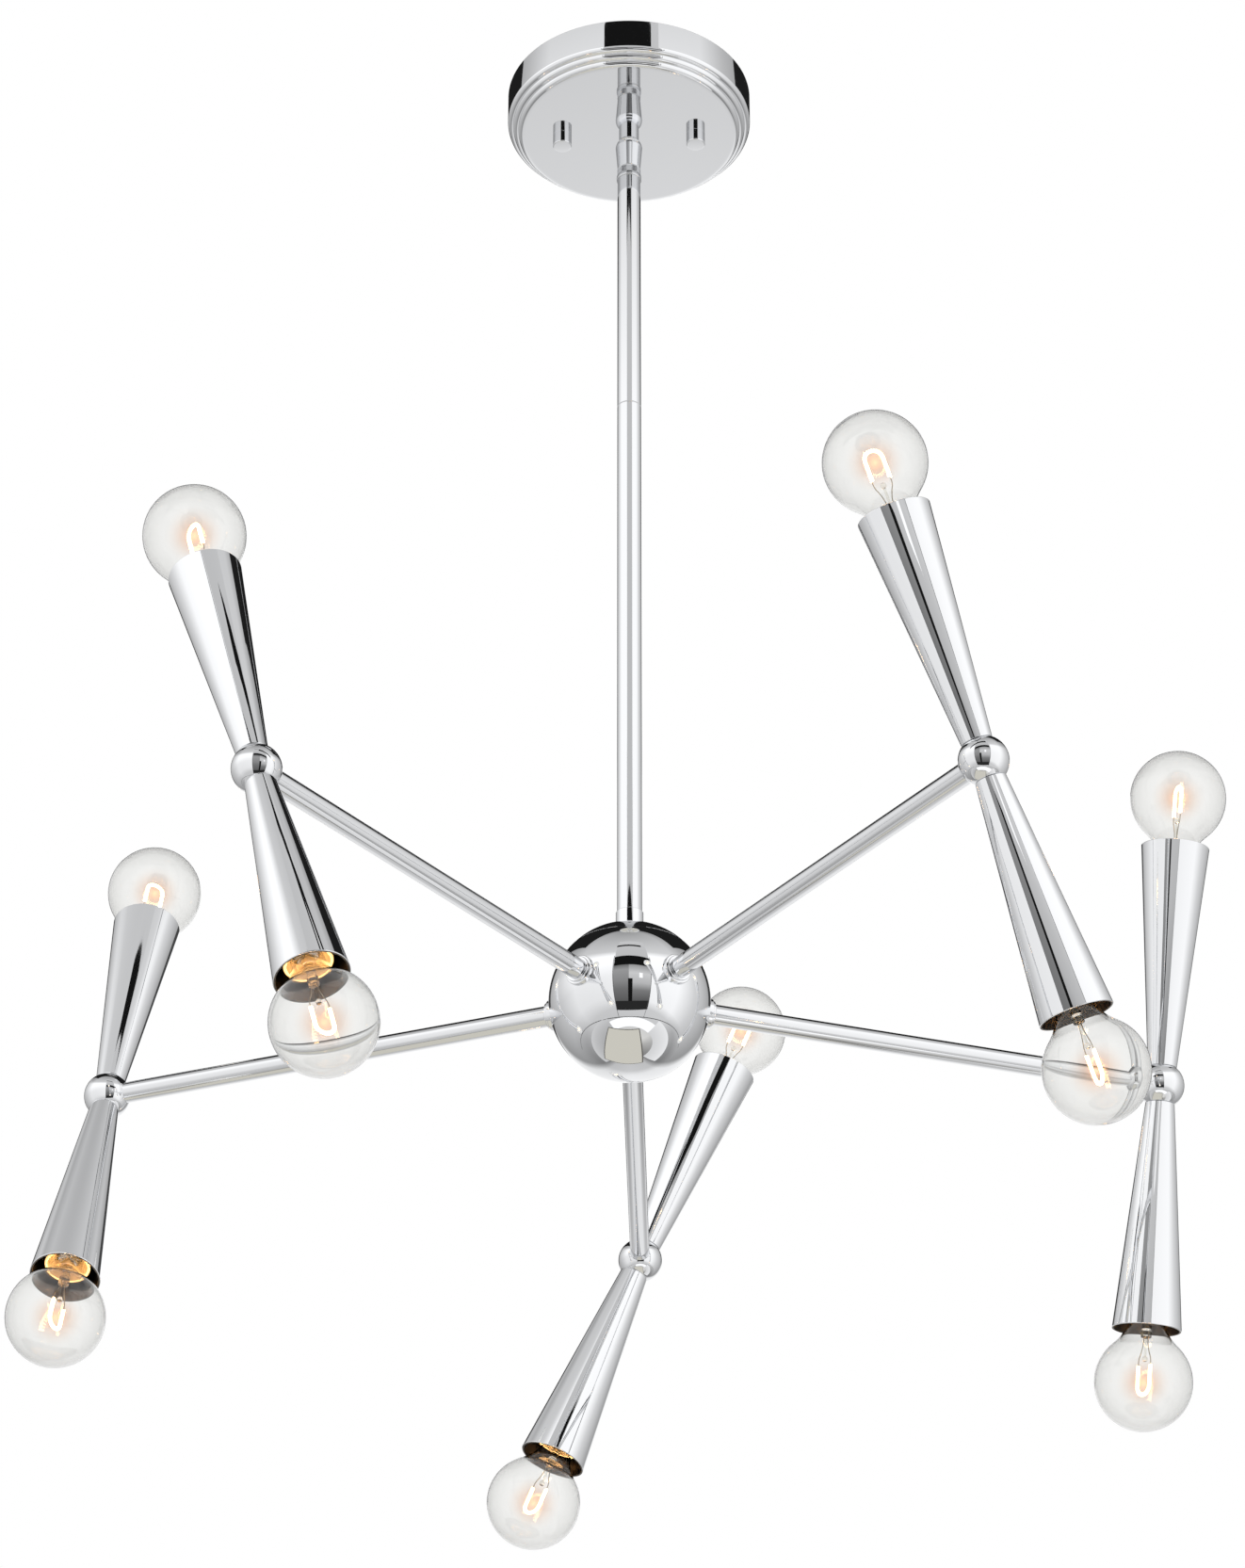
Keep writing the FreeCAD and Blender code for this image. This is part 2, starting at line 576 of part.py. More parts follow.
def arm_collar(arm):
    """A stepped bushing: two rings outside the ball, a shank through its wall, and the arm's bore."""
    bore = ARM_SPIGOT_R + FIT
    seat = height_on(HUB_R, COLLAR_BASE_R)
    inner_seat = height_on(HUB_R, COLLAR_SHANK_R)
    under_r = (COLLAR_BASE_R + COLLAR_SHANK_R) / 2
    under = (under_r, height_on(HUB_R, under_r))
    step = HUB_R + COLLAR_BASE
    top = step + COLLAR_RING
    low = HUB_INNER_R - COLLAR_SHANK
    ring = turned([(bore, low), (COLLAR_SHANK_R, low), (COLLAR_SHANK_R, inner_seat),
                   (under, (COLLAR_BASE_R, seat)), (COLLAR_BASE_R, step - COLLAR_EDGE),
                   (COLLAR_BASE_R - COLLAR_EDGE, step), (COLLAR_RING_R, step),
                   (COLLAR_RING_R, top - COLLAR_EDGE), (COLLAR_RING_R - COLLAR_EDGE, top), (bore, top)])
    return placed(along_x(ring), arm)


# ---- wires --------------------------------------------------------------------------------------------------
def stem_wire(side):
    """One wire down the stem, splayed inside the hub to its connector."""
    near = side * WIRE_SPREAD
    far = side * CONNECTOR_SPREAD
    grip = HUB_Z - CONNECTOR_TOP - CONNECTOR_GRIP
    return wire_run([V(near, 0, BARREL_FOOT_Z - STEM_WIRE_TOP), V(near, 0, HUB_Z + SPLAY_TOP),
                     V(far, 0, HUB_Z), V(far, 0, grip)], WIRE_BEND_R, WIRE_R)


def wire_connector(side):
    """A twist-on connector: a ribbed cone with its open end up."""
    top = -CONNECTOR_TOP
    foot = top - CONNECTOR_LENGTH
    cone = turned([(0, foot), (CONNECTOR_TOP_R, foot), (CONNECTOR_R, top - CONNECTOR_LENGTH / 3),
                   (CONNECTOR_R, top), (WIRE_R, top), (WIRE_R, top - CONNECTOR_GRIP), (0, top - CONNECTOR_GRIP)])
    for rib in range(6):
        turn = math.radians(60 * rib)
        groove = rod(CONNECTOR_R / 7, foot, top + PAST, CONNECTOR_R * math.cos(turn), CONNECTOR_R * math.sin(turn))
        cone = cone.cut(groove)
    cone.translate(V(side * CONNECTOR_SPREAD, 0, HUB_Z))
    return cone


def arm_wires():
    """Two wires along an arm, one bent up and one bent down into its socket."""
    runs = []
    for side in (-1, 1):
        runs.append(wire_run([V(ARM_WIRE_START, 0, side * WIRE_SPREAD), V(ARM_REACH, 0, side * WIRE_SPREAD),
                              V(ARM_REACH, 0, side * SOCKET_WIRE_END)], WIRE_BEND_R, WIRE_R))
    return runs


# ---- arm and heads, in the arm's own frame ------------------------------------------------------------------
def arm_tube():
    """The arm: a tube with a threaded spigot at the hub and a plain end inside the small ball."""
    start = SHOULDER_PLACE
    spigot_bore = ARM_SPIGOT_R - ARM_SPIGOT_WALL
    end = ARM_REACH - height_on(NODE_R, ARM_R) + ARM_SOCKET_DEPTH
    bush = start + ARM_SPIGOT_LENGTH / 2
    return along_x(turned([(spigot_bore, start - ARM_SPIGOT_LENGTH), (ARM_SPIGOT_R, start - ARM_SPIGOT_LENGTH),
                           (ARM_SPIGOT_R, start), (ARM_R, start), (ARM_R, end), (ARM_R - ARM_WALL, end),
                           (ARM_R - ARM_WALL, bush), (spigot_bore, bush)]))


def arm_ball():
    """The small ball, spot-faced for its two cups and bored for the arm and the sockets' stems."""
    ball = Part.makeSphere(NODE_R).cut(Part.makeSphere(NODE_CAVITY_R))
    for low, high in ((NODE_FLAT, NODE_R + PAST), (-NODE_R - PAST, -NODE_FLAT)):
        ball = ball.cut(rod(NODE_R, low, high))
    ball = ball.cut(rod(SOCKET_STEM_R + FIT, -NODE_R, NODE_R))
    seat = height_on(NODE_R, ARM_R) - ARM_SOCKET_DEPTH
    ball = ball.cut(along_x(rod(ARM_R + FIT, -NODE_R - PAST, -seat)))
    ball = ball.cut(along_x(rod(ARM_R - ARM_WALL, -NODE_R, 0)))
    ball.translate(V(ARM_REACH, 0, 0))
    return ball


def cup():
    """A slender tapered cup: a flat floor on the ball's spot face and a plain turned mouth."""
    floor = NODE_FLAT + CUP_FLOOR
    inner_floor = CUP_FOOT_R + CUP_SLOPE * CUP_FLOOR - CUP_WALL
    return turned([(SOCKET_STEM_R + FIT, NODE_FLAT), (CUP_FOOT_R - CUP_LIP, NODE_FLAT),
                   (CUP_FOOT_R, NODE_FLAT + CUP_LIP), (CUP_MOUTH_R, CUP_MOUTH - CUP_LIP),
                   (CUP_MOUTH_R - CUP_LIP, CUP_MOUTH), (CUP_MOUTH_R - CUP_WALL, CUP_MOUTH),
                   (inner_floor, floor), (SOCKET_STEM_R + FIT, floor)])


def socket_body():
    """The lamp holder: a drilled stem with a clamping flange, and a body with a wide rim, a mouth and a well."""
    flange = NODE_FLAT + CUP_FLOOR
    rim_foot = SOCKET_TOP - SOCKET_RIM
    well_r = SCREW_SHELL_R + FIT
    return turned([(SOCKET_STEM_BORE_R, NODE_FLAT - SOCKET_STEM_SINK), (SOCKET_STEM_R, NODE_FLAT - SOCKET_STEM_SINK),
                   (SOCKET_STEM_R, flange), (SOCKET_FLANGE_R, flange), (SOCKET_FLANGE_R, flange + SOCKET_FLANGE),
                   (SOCKET_STEM_R, flange + SOCKET_FLANGE), (SOCKET_STEM_R, SOCKET_FOOT),
                   (SOCKET_BODY_R - SOCKET_EDGE, SOCKET_FOOT), (SOCKET_BODY_R, SOCKET_FOOT + SOCKET_EDGE),
                   (SOCKET_BODY_R, rim_foot), (SOCKET_RIM_R, rim_foot + SOCKET_RIM_R - SOCKET_BODY_R),
                   (SOCKET_RIM_R, SOCKET_TOP - SOCKET_EDGE), (SOCKET_RIM_R - SOCKET_EDGE, SOCKET_TOP),
                   (SOCKET_MOUTH_R, SOCKET_TOP), (SOCKET_MOUTH_R, MOUTH_FLOOR), (well_r, MOUTH_FLOOR),
                   (well_r, WELL_FLOOR), (SOCKET_STEM_BORE_R, WELL_FLOOR)])


def screw_shell():
    """The brass shell in the socket's well, which the lamp's cap screws into."""
    inner = CAP_R + FIT
    top = MOUTH_FLOOR + SCREW_SHELL_STAND
    return turned([(inner, WELL_FLOOR), (SCREW_SHELL_R, WELL_FLOOR), (SCREW_SHELL_R, top), (inner, top)])


def lamp_glass():
    """The clear envelope: a globe swept down into a neck that stays open at the cap."""
    sweep_z = GLOBE_PLACE - math.sqrt((GLOBE_R + NECK_SWEEP_R) ** 2 - (GLASS_NECK_R + NECK_SWEEP_R) ** 2)
    meet = math.degrees(math.asin((GLASS_NECK_R + NECK_SWEEP_R) / (GLOBE_R + NECK_SWEEP_R)))
    centre_r = GLASS_NECK_R + NECK_SWEEP_R

    def neck_arc(radius, start, end):
        points = []
        for angle in ((start + end) / 2, end):
            turn = math.radians(angle)
            points.append((centre_r - radius * math.sin(turn), sweep_z + radius * math.cos(turn)))
        return tuple(points)

    inner_globe = GLOBE_R - GLASS
    inner_neck = NECK_SWEEP_R + GLASS
    return turned([(GLASS_NECK_R, CAP_TOP), (GLASS_NECK_R, sweep_z), neck_arc(NECK_SWEEP_R, 90, meet),
                   sphere_arc(GLOBE_R, 180 - meet, 0, GLOBE_PLACE), (0, GLOBE_PLACE + inner_globe),
                   sphere_arc(inner_globe, 0, 180 - meet, GLOBE_PLACE), neck_arc(inner_neck, meet, 90),
                   (GLASS_NECK_R - GLASS, CAP_TOP)])


def lamp_cap():
    """The screw cap with its tapered foot contact."""
    return turned([(0, LAMP_TIP), (CAP_TIP_R, LAMP_TIP), (CAP_R, LAMP_TIP + CAP_TIP), (CAP_R, CAP_TOP),
                   (0, CAP_TOP)])


def lamp_mount():
    """The glass mount: a flare that closes the neck, a stem pressed flat on top, and an arbor with its bead."""
    flare_r = GLASS_NECK_R - GLASS - FIT
    flare_z = CAP_TOP + GLASS
    press_foot = PRESS_TOP - PRESS_LENGTH
    bead_start = 180 - math.degrees(math.asin(ARBOR_R / BEAD_R))
    return turned([(0, CAP_TOP), (flare_r, CAP_TOP), (flare_r, flare_z), (MOUNT_R, flare_z + MOUNT_FLARE),
                   (MOUNT_R, press_foot - PRESS_R + MOUNT_R), (PRESS_R, press_foot), (PRESS_R, PRESS_TOP),
                   (ARBOR_R, PRESS_TOP), on_sphere(BEAD_R, bead_start, BEAD_PLACE),
                   sphere_arc(BEAD_R, bead_start, 0, BEAD_PLACE)])


def lamp_loop():
    """The two leads and the filament between them, as one looped wire."""
    half = [V(LEAD_PLACE, 0, PRESS_TOP), V(LEAD_PLACE, 0, PRESS_TOP + LEAD_RISE),
            V(LOOP_HALF_WIDTH, 0, LOOP_FOOT), V(LOOP_HALF_WIDTH, 0, LOOP_TOP)]
    other = [V(-point.x, 0, point.z) for point in reversed(half)]
    return wire_run(half + other, LOOP_BEND_R, LEAD_R)


def head_pairs(uppers):
    """Both copies of each head piece: the one above the ball and the one below it."""
    pairs = []
    for upper in uppers:
        for turn in (0, 180):
            piece = upper.copy()
            piece.rotate(V(0, 0, 0), V(1, 0, 0), turn)
            piece.translate(V(ARM_REACH, 0, 0))
            pairs.append(piece)
    return pairs


# ---- the whole object ---------------------------------------------------------------------------------------
def build():
    os.makedirs("parts", exist_ok=True)
    sides = (-1, 1)
    save("crossbar", [crossbar()])
    save("canopy_studs", [canopy_stud(side) for side in sides])
    save("stud_nuts", [stud_nut(side) for side in sides])
    save("ground_screw", [ground_screw()])
    save("canopy", [canopy()])
    save("canopy_knobs", [canopy_knob(side) for side in sides])
    save("swivel_stud", [swivel_stud()])
    save("swivel_nut", [swivel_nut()])
    save("swivel_upper_seat", [swivel_seat(SEAT_ZONES[0])])
    save("swivel_lower_seat", [swivel_seat(SEAT_ZONES[1])])
    save("swivel_barrel", [swivel_barrel()])
    save("swivel_collar", [swivel_collar()])
    save("stem_upper", [stem_upper()])
    save("stem_coupling", [stem_coupling()])
    save("stem_lower", [stem_lower()])
    save("stem_wires", [stem_wire(side) for side in sides])
    save("hub_shell", [hub_shell()])
    save("hub_cap", [hub_cap()])
    save("hub_ring", [hub_ring()])
    save("hub_bridge", [hub_bridge()])
    save("hub_nipple", [hub_nipple()])
    save("hub_nut", [hub_nut()])
    save("wire_connectors", [wire_connector(side) for side in sides])
    save("arm_collars", [arm_collar(arm) for arm in range(ARMS)])
    tube = arm_tube()
    ball = arm_ball()
    cups = head_pairs([cup()])
    sockets = head_pairs([socket_body(), screw_shell()])
    lamps = head_pairs([lamp_glass(), lamp_cap(), lamp_mount(), lamp_loop()])
    wires = arm_wires()
    for arm in range(ARMS):
        name = "arm_" + str(arm + 1) + "_"
        lean = HEAD_LEANS[arm]
        save(name + "tube", [placed(tube, arm, lean)])
        save(name + "ball", [placed(ball, arm, lean)])
        save(name + "cup_upper", [placed(cups[0], arm, lean)])
        save(name + "cup_lower", [placed(cups[1], arm, lean)])
        save(name + "sockets", [placed(piece, arm, lean) for piece in sockets])
        save(name + "lamps", [placed(piece, arm, lean) for piece in lamps])
        save(name + "wires", [placed(piece, arm, lean) for piece in wires])
    print("hub centre", HUB_Z, "pivot", PIVOT_Z)


build()
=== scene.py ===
# %% [markdown]
# # A sputnik chandelier in polished chrome
#
# The real object hangs from a ceiling box: a stepped canopy, a ball swivel, a two-piece stem and a hub ball.
# Five arms leave the hub, and each ends in a small ball with a tapered cone up and a cone down, each with a clear
# globe lamp. The solids are already packed as a frame that can't move. This lesson loads the frame, then dresses
# it: each piece that shows is made again as a finer mesh in the same place, and gets its own finish.

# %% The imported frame
import json
import math

import bmesh
import bpy
from mathutils import Matrix, Vector


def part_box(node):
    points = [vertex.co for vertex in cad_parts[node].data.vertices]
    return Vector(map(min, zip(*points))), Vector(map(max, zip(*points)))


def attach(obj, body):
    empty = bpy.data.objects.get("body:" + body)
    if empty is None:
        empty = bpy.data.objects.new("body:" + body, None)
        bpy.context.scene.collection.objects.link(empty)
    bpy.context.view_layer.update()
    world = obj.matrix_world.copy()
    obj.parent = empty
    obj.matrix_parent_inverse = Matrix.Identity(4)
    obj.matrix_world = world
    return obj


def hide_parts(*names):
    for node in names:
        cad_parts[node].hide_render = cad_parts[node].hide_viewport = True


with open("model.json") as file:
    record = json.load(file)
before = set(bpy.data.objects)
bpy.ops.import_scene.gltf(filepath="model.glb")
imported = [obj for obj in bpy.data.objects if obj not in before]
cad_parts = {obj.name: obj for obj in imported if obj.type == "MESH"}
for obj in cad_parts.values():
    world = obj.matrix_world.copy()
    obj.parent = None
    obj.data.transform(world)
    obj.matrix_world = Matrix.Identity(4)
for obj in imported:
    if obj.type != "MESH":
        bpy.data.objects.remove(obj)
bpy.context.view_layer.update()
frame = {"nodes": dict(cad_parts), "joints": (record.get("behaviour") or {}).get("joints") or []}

# %% [markdown]
# ## Places
#
# The places come from the frame. The joints say where the swivel's centre and the hub's centre are, and the boxes
# of a few nodes say how high the canopy's plate and the ends of the rods are. Every outline below is in
# millimetres from one of these places.

# %% Measured places
MM = 0.001
joints = {joint["name"]: joint for joint in frame["joints"]}
pivot = Vector(joints["swivel_tilt_x"]["pos_m"])
hub = Vector(joints["arm_1_turn"]["pos_m"])
PIVOT_Z = pivot.z / MM
HUB_Z = hub.z / MM
PLATE_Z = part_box("canopy")[0].z / MM
COLLAR_FOOT_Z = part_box("swivel_collar")[0].z / MM
ROD_JOINT_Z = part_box("stem_lower")[1].z / MM
ROD_FOOT_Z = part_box("stem_lower")[0].z / MM
print("heights in mm: plate", round(PLATE_Z, 2), "pivot", round(PIVOT_Z, 2), "rods", round(COLLAR_FOOT_Z, 2),
      round(ROD_JOINT_Z, 2), round(ROD_FOOT_Z, 2), "hub", round(HUB_Z, 2))

# %% [markdown]
# ## The heads' frames
#
# The five heads lean the same way round the hub, each by its own few degrees. A head's frame has its origin at
# the small ball's centre, X out along the arm (the joint's own axis) and Z up along the two cones. The box of the
# two lamps is centred on the small ball, and the lamp vertex farthest from it, on the upper side, is the top of
# the upper globe.

# %% One frame for each head
ARMS = (1, 2, 3, 4, 5)


def head_frame(arm):
    """The matrix from a head's own frame, in metres, to the place of that head."""
    low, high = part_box(f"arm_{arm}_lamps")
    centre = (low + high) / 2
    vertices = [vertex.co for vertex in frame["nodes"][f"arm_{arm}_lamps"].data.vertices]
    top = max((point for point in vertices if point.z > centre.z), key=lambda point: (point - centre).length)
    out = Vector(joints[f"arm_{arm}_turn"]["axis"]).normalized()
    up = (top - centre).normalized()
    up = (up - out * up.dot(out)).normalized()
    side = up.cross(out)
    rows = [(out[k], side[k], up[k], centre[k]) for k in range(3)]
    return Matrix(rows + [(0, 0, 0, 1)])


heads = {arm: head_frame(arm) for arm in ARMS}
ARM_REACH = (heads[1].translation - hub).length / MM
for arm, head in heads.items():
    print("head", arm, "at", tuple(round(v, 4) for v in head.translation), "reach in mm", round(ARM_REACH, 2))

# %% [markdown]
# ## Turned pieces
#
# Nearly everything here was spun, turned on a lathe or drawn as tube, so one function makes most meshes: it takes
# half an outline as (radius, height) points and carries it round the axis. A screw modifier could do the same, but
# a mesh made in code has an even grid, which a mirror finish needs, and the function can also press threads and
# knurls into the wall. It keeps each vertex's place in the piece's own frame as an attribute, so that the marks of
# the lathe can follow the axis, whichever way the piece points.

# %% The lathe
STEPS = 96
TINY = 1e-6


def turned(outline, steps=STEPS, relief=None):
    """A mesh from an outline in mm, in the piece's own frame. An outline that starts off the axis is a ring.

    relief(turn, radius, height) gives how far a point stands proud, in mm, with the turn in radians.
    """
    outline = [(radius if radius > TINY else 0.0, height) for radius, height in outline]
    work = bmesh.new()
    own = work.verts.layers.float_vector.new("turning")
    rings = []
    for radius, height in outline:
        ring = []
        for step in range(steps if radius > 0 else 1):
            turn = 2 * math.pi * step / steps
            reach = radius + (relief(turn, radius, height) if relief else 0)
            place = Vector((reach * math.cos(turn), reach * math.sin(turn), height)) * MM
            vertex = work.verts.new(place)
            vertex[own] = place
            ring.append(vertex)
        rings.append(ring)
    closed = outline[0][0] > 0
    pairs = list(zip(rings, rings[1:])) + ([(rings[-1], rings[0])] if closed else [])
    for first, second in pairs:
        for step in range(steps):
            after = (step + 1) % steps
            corners = [first[step % len(first)], first[after % len(first)],
                       second[after % len(second)], second[step % len(second)]]
            corners = [corner for k, corner in enumerate(corners) if corner not in corners[:k]]
            if len(corners) > 2:
                work.faces.new(corners)
    bmesh.ops.recalc_face_normals(work, faces=work.faces)
    mesh = bpy.data.meshes.new("turned")
    work.to_mesh(mesh)
    work.free()
    return mesh


def bow(centre, radius, start, end, count):
    """Points on an arc about (radius, height) centre, between two angles in degrees from straight up."""
    points = []
    for k in range(count + 1):
        angle = math.radians(start + (end - start) * k / count)
        points.append((centre[0] + radius * math.sin(angle), centre[1] + radius * math.cos(angle)))
    return points


def softened(corners, bends=3):
    """The outline with each corner that names a third number rounded to that radius in mm."""
    points = []
    for before, corner, after in zip(corners[-1:] + corners[:-1], corners, corners[1:] + corners[:1]):
        here = Vector(corner[:2])
        if len(corner) < 3:
            points.append(tuple(here))
            continue
        back = Vector(before[:2]) - here
        forth = Vector(after[:2]) - here
        half = back.angle(forth) / 2
        reach = min(corner[2] / math.tan(half), 0.45 * back.length, 0.45 * forth.length)
        radius = reach * math.tan(half)
        centre = here + (back.normalized() + forth.normalized()).normalized() * radius / math.sin(half)
        start = here + back.normalized() * reach - centre
        end = here + forth.normalized() * reach - centre
        for k in range(bends + 1):
            points.append(tuple(centre + start.lerp(end, k / bends).normalized() * radius))
    return points


def run(start, end, count):
    """A straight run of an outline with count points between its ends, for a relief to bend."""
    return [(start[0] + (end[0] - start[0]) * k / (count + 1), start[1] + (end[1] - start[1]) * k / (count + 1))
            for k in range(count + 2)]


def on_sphere(radius, angle, centre_z=0.0):
    """The outline point of a sphere at an angle in degrees from its top."""
    return bow((0, centre_z), radius, angle, angle, 1)[0]


print("a test ball has", len(turned(bow((0, 0), 10, 0, 180, 24)).polygons), "faces")

# %% [markdown]
# ## Putting a piece in place
#
# A piece's mesh is moved to its place and its object stays at the origin, as the CAD nodes do. Faces shade smooth
# except over edges sharper than 40 degrees, and a weighted normal keeps a wide flat face flat beside a small
# rounded edge, which shows at once in chrome.

# %% Place, shade and hang a piece on its body
pieces_made = []
SHARP = math.radians(40)


def piece(name, mesh, finishes, body, stands_for=(), place=None):
    """Makes an object of a copy of the mesh at its place and lets it ride on a CAD body."""
    shape = mesh.copy()
    if place is not None:
        shape.transform(place)
    shape.shade_smooth()
    shape.set_sharp_from_angle(angle=SHARP)
    for finish in finishes if isinstance(finishes, (list, tuple)) else [finishes]:
        shape.materials.append(finish)
    made = bpy.data.objects.new(name, shape)
    bpy.context.scene.collection.objects.link(made)
    flat = made.modifiers.new("keep flats flat", "WEIGHTED_NORMAL")
    flat.keep_sharp = True
    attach(made, body)
    if stands_for:
        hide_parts(*stands_for)
    pieces_made.append(name)
    return made


def on_stem(height):
    """The place of a piece that stands upright on the stem's axis, its own zero at a height in mm."""
    return Matrix.Translation((0, 0, height * MM))


# %% [markdown]
# ## Holes in a thin wall
#
# The hub's bowl has five holes for the arms' bushings, each small ball has one for its arm, and the canopy two for
# its studs. A Boolean would leave long thin faces that break a mirror finish. Instead the faces inside the hole
# are taken out, the edge vertices are moved onto the circle, and the outer and inner edges are joined.

# %% Drill a hole
def drilled(mesh, start, direction, radius):
    """Cuts a round hole of a radius in mm through a wall, from a point in mm along a direction."""
    start = Vector(start) * MM
    direction = Vector(direction).normalized()
    radius = radius * MM
    work = bmesh.new()
    work.from_mesh(mesh)
    own = work.verts.layers.float_vector["turning"]

    def from_axis(point):
        along = (point - start).dot(direction)
        return along, point - start - direction * along

    doomed = []
    for face in work.faces:
        along, away = from_axis(face.calc_center_median())
        if along > 0 and away.length < radius:
            doomed.append(face)
    bmesh.ops.delete(work, geom=doomed, context="FACES")
    rim = [edge for edge in work.edges if edge.is_boundary]
    for vertex in {vertex for edge in rim for vertex in edge.verts}:
        along, away = from_axis(vertex.co)
        length = vertex.co.length
        level = vertex.co.z
        moved = start + direction * along + away.normalized() * radius
        if abs(direction.z) < 0.9:
            moved = moved.normalized() * length
        else:
            moved.z = level
        vertex.co = moved
        vertex[own] = moved
    bmesh.ops.bridge_loops(work, edges=rim)
    bmesh.ops.recalc_face_normals(work, faces=work.faces)
    work.to_mesh(mesh)
    work.free()
    print("drilled a hole of radius", round(radius / MM, 2), "mm, faces taken out:", len(doomed))
    return mesh


# %% [markdown]
# ## Colour and nodes
#
# Colours are written as the sRGB hex codes that a paint chart gives, and one function turns them to the linear
# values that a shader needs. One more function adds a node with its settings and links: a socket value that is
# itself an output gets linked.

# %% Colour and node helpers
def linear(code):
    """An sRGB hex colour as linear RGBA."""
    parts = [int(code[k:k + 2], 16) / 255 for k in (1, 3, 5)]
    return (*(part / 12.92 if part <= 0.04045 else ((part + 0.055) / 1.055) ** 2.4 for part in parts), 1.0)


def add(tree, kind, sockets=None, **settings):
    """Adds a node, sets its properties, and sets or links its input sockets."""
    node = tree.nodes.new(kind)
    for name, value in settings.items():
        setattr(node, name, value)
    for socket, value in (sockets or {}).items():
        if isinstance(value, bpy.types.NodeSocket):
            tree.links.new(value, node.inputs[socket])
        else:
            node.inputs[socket].default_value = value
    return node


def new_material(name):
    """An empty node material and its output node."""
    material = bpy.data.materials.new(name)
    material.use_nodes = True
    material.node_tree.nodes.clear()
    output = add(material.node_tree, "ShaderNodeOutputMaterial")
    return material, material.node_tree, output


def per_mm(size):
    """A texture's scale so that one cell of its pattern is a size in mm."""
    return 1 / (size * MM)


print("chrome white as linear:", [round(v, 3) for v in linear("#F4F5F7")])

# %% [markdown]
# ## Chrome plate
#
# The real finish is a thin layer of chromium over bright nickel on polished steel or brass. It is one metal with
# several surfaces below it: a spun dish, a ball polished on a wheel, drawn tube. The plating copies the surface it
# covers, so one maker builds them all, and only the marks differ: how wide and how deep they are, and whether they
# run along the axis or round it. The marks are far finer than a pixel, so they are drawn a little coarser, and
# mostly widen the gloss. Rubbing with a cloth leaves the slow change in roughness.

# %% Chrome finishes
def chrome_plate(name, colour, gloss, gloss_spread, mark_size, mark_stretch, mark_depth):
    """Chromium over a worked surface. mark_stretch squeezes (below 1) or stretches the marks along the axis."""
    material, tree, output = new_material(name)
    place = add(tree, "ShaderNodeAttribute", attribute_name="turning")
    aligned = add(tree, "ShaderNodeVectorMath", {0: place.outputs["Vector"], 1: (1, 1, mark_stretch)},
                  operation="MULTIPLY")
    marks = add(tree, "ShaderNodeTexNoise", {"Vector": aligned.outputs[0], "Scale": per_mm(mark_size),
                                             "Detail": 3.0, "Roughness": 0.6})
    rubbing = add(tree, "ShaderNodeTexNoise", {"Vector": place.outputs["Vector"], "Scale": per_mm(26),
                                               "Detail": 2.0})
    rough = add(tree, "ShaderNodeMapRange", {"Value": rubbing.outputs["Fac"], "From Min": 0.3, "From Max": 0.7,
                                             "To Min": gloss, "To Max": gloss + gloss_spread})
    bump = add(tree, "ShaderNodeBump", {"Height": marks.outputs["Fac"], "Strength": 1.0,
                                        "Distance": mark_depth * MM})
    shader = add(tree, "ShaderNodeBsdfPrincipled", {"Base Color": linear(colour), "Metallic": 1.0,
                                                    "Roughness": rough.outputs["Result"],
                                                    "Normal": bump.outputs["Normal"]})
    tree.links.new(shader.outputs["BSDF"], output.inputs["Surface"])
    return material


CHROME = "#F4F5F7"
wheel_polished_chrome = chrome_plate("wheel_polished_chrome", CHROME, 0.015, 0.02, 9.0, 1.0, 0.0006)
spun_chrome = chrome_plate("spun_chrome", CHROME, 0.02, 0.025, 0.6, 6.0, 0.0002)
turned_chrome = chrome_plate("turned_chrome", CHROME, 0.012, 0.02, 0.4, 8.0, 0.0001)
drawn_tube_chrome = chrome_plate("drawn_tube_chrome", "#F0F1F3", 0.03, 0.03, 0.5, 0.02, 0.0003)
knurled_chrome = chrome_plate("knurled_chrome", "#DADBDD", 0.16, 0.08, 0.5, 1.0, 0.002)
# The inside of a cone has dull plating, and its dark brown colour is painted shade in the hollow of the cone.
cone_inside_dull_with_painted_shade = chrome_plate("cone_inside_dull_with_painted_shade", "#6A625A", 0.38, 0.12, 0.7, 5.0, 0.004)
print("chrome finishes:", [m.name for m in bpy.data.materials if "chrome" in m.name])

# %% [markdown]
# ## Hardware finishes
#
# The strap, nuts, nipple and screws inside are bright zinc on steel: a cooler, greyer metal than chrome, with soft
# spangle from the passivation. Threaded pieces get their pitch as a bump, since they hide inside the canopy and
# the hub. The bonding screw is dyed green, the seats of the swivel are moulded nylon, the wires have a PVC sleeve
# and the twist-on connectors are moulded too.

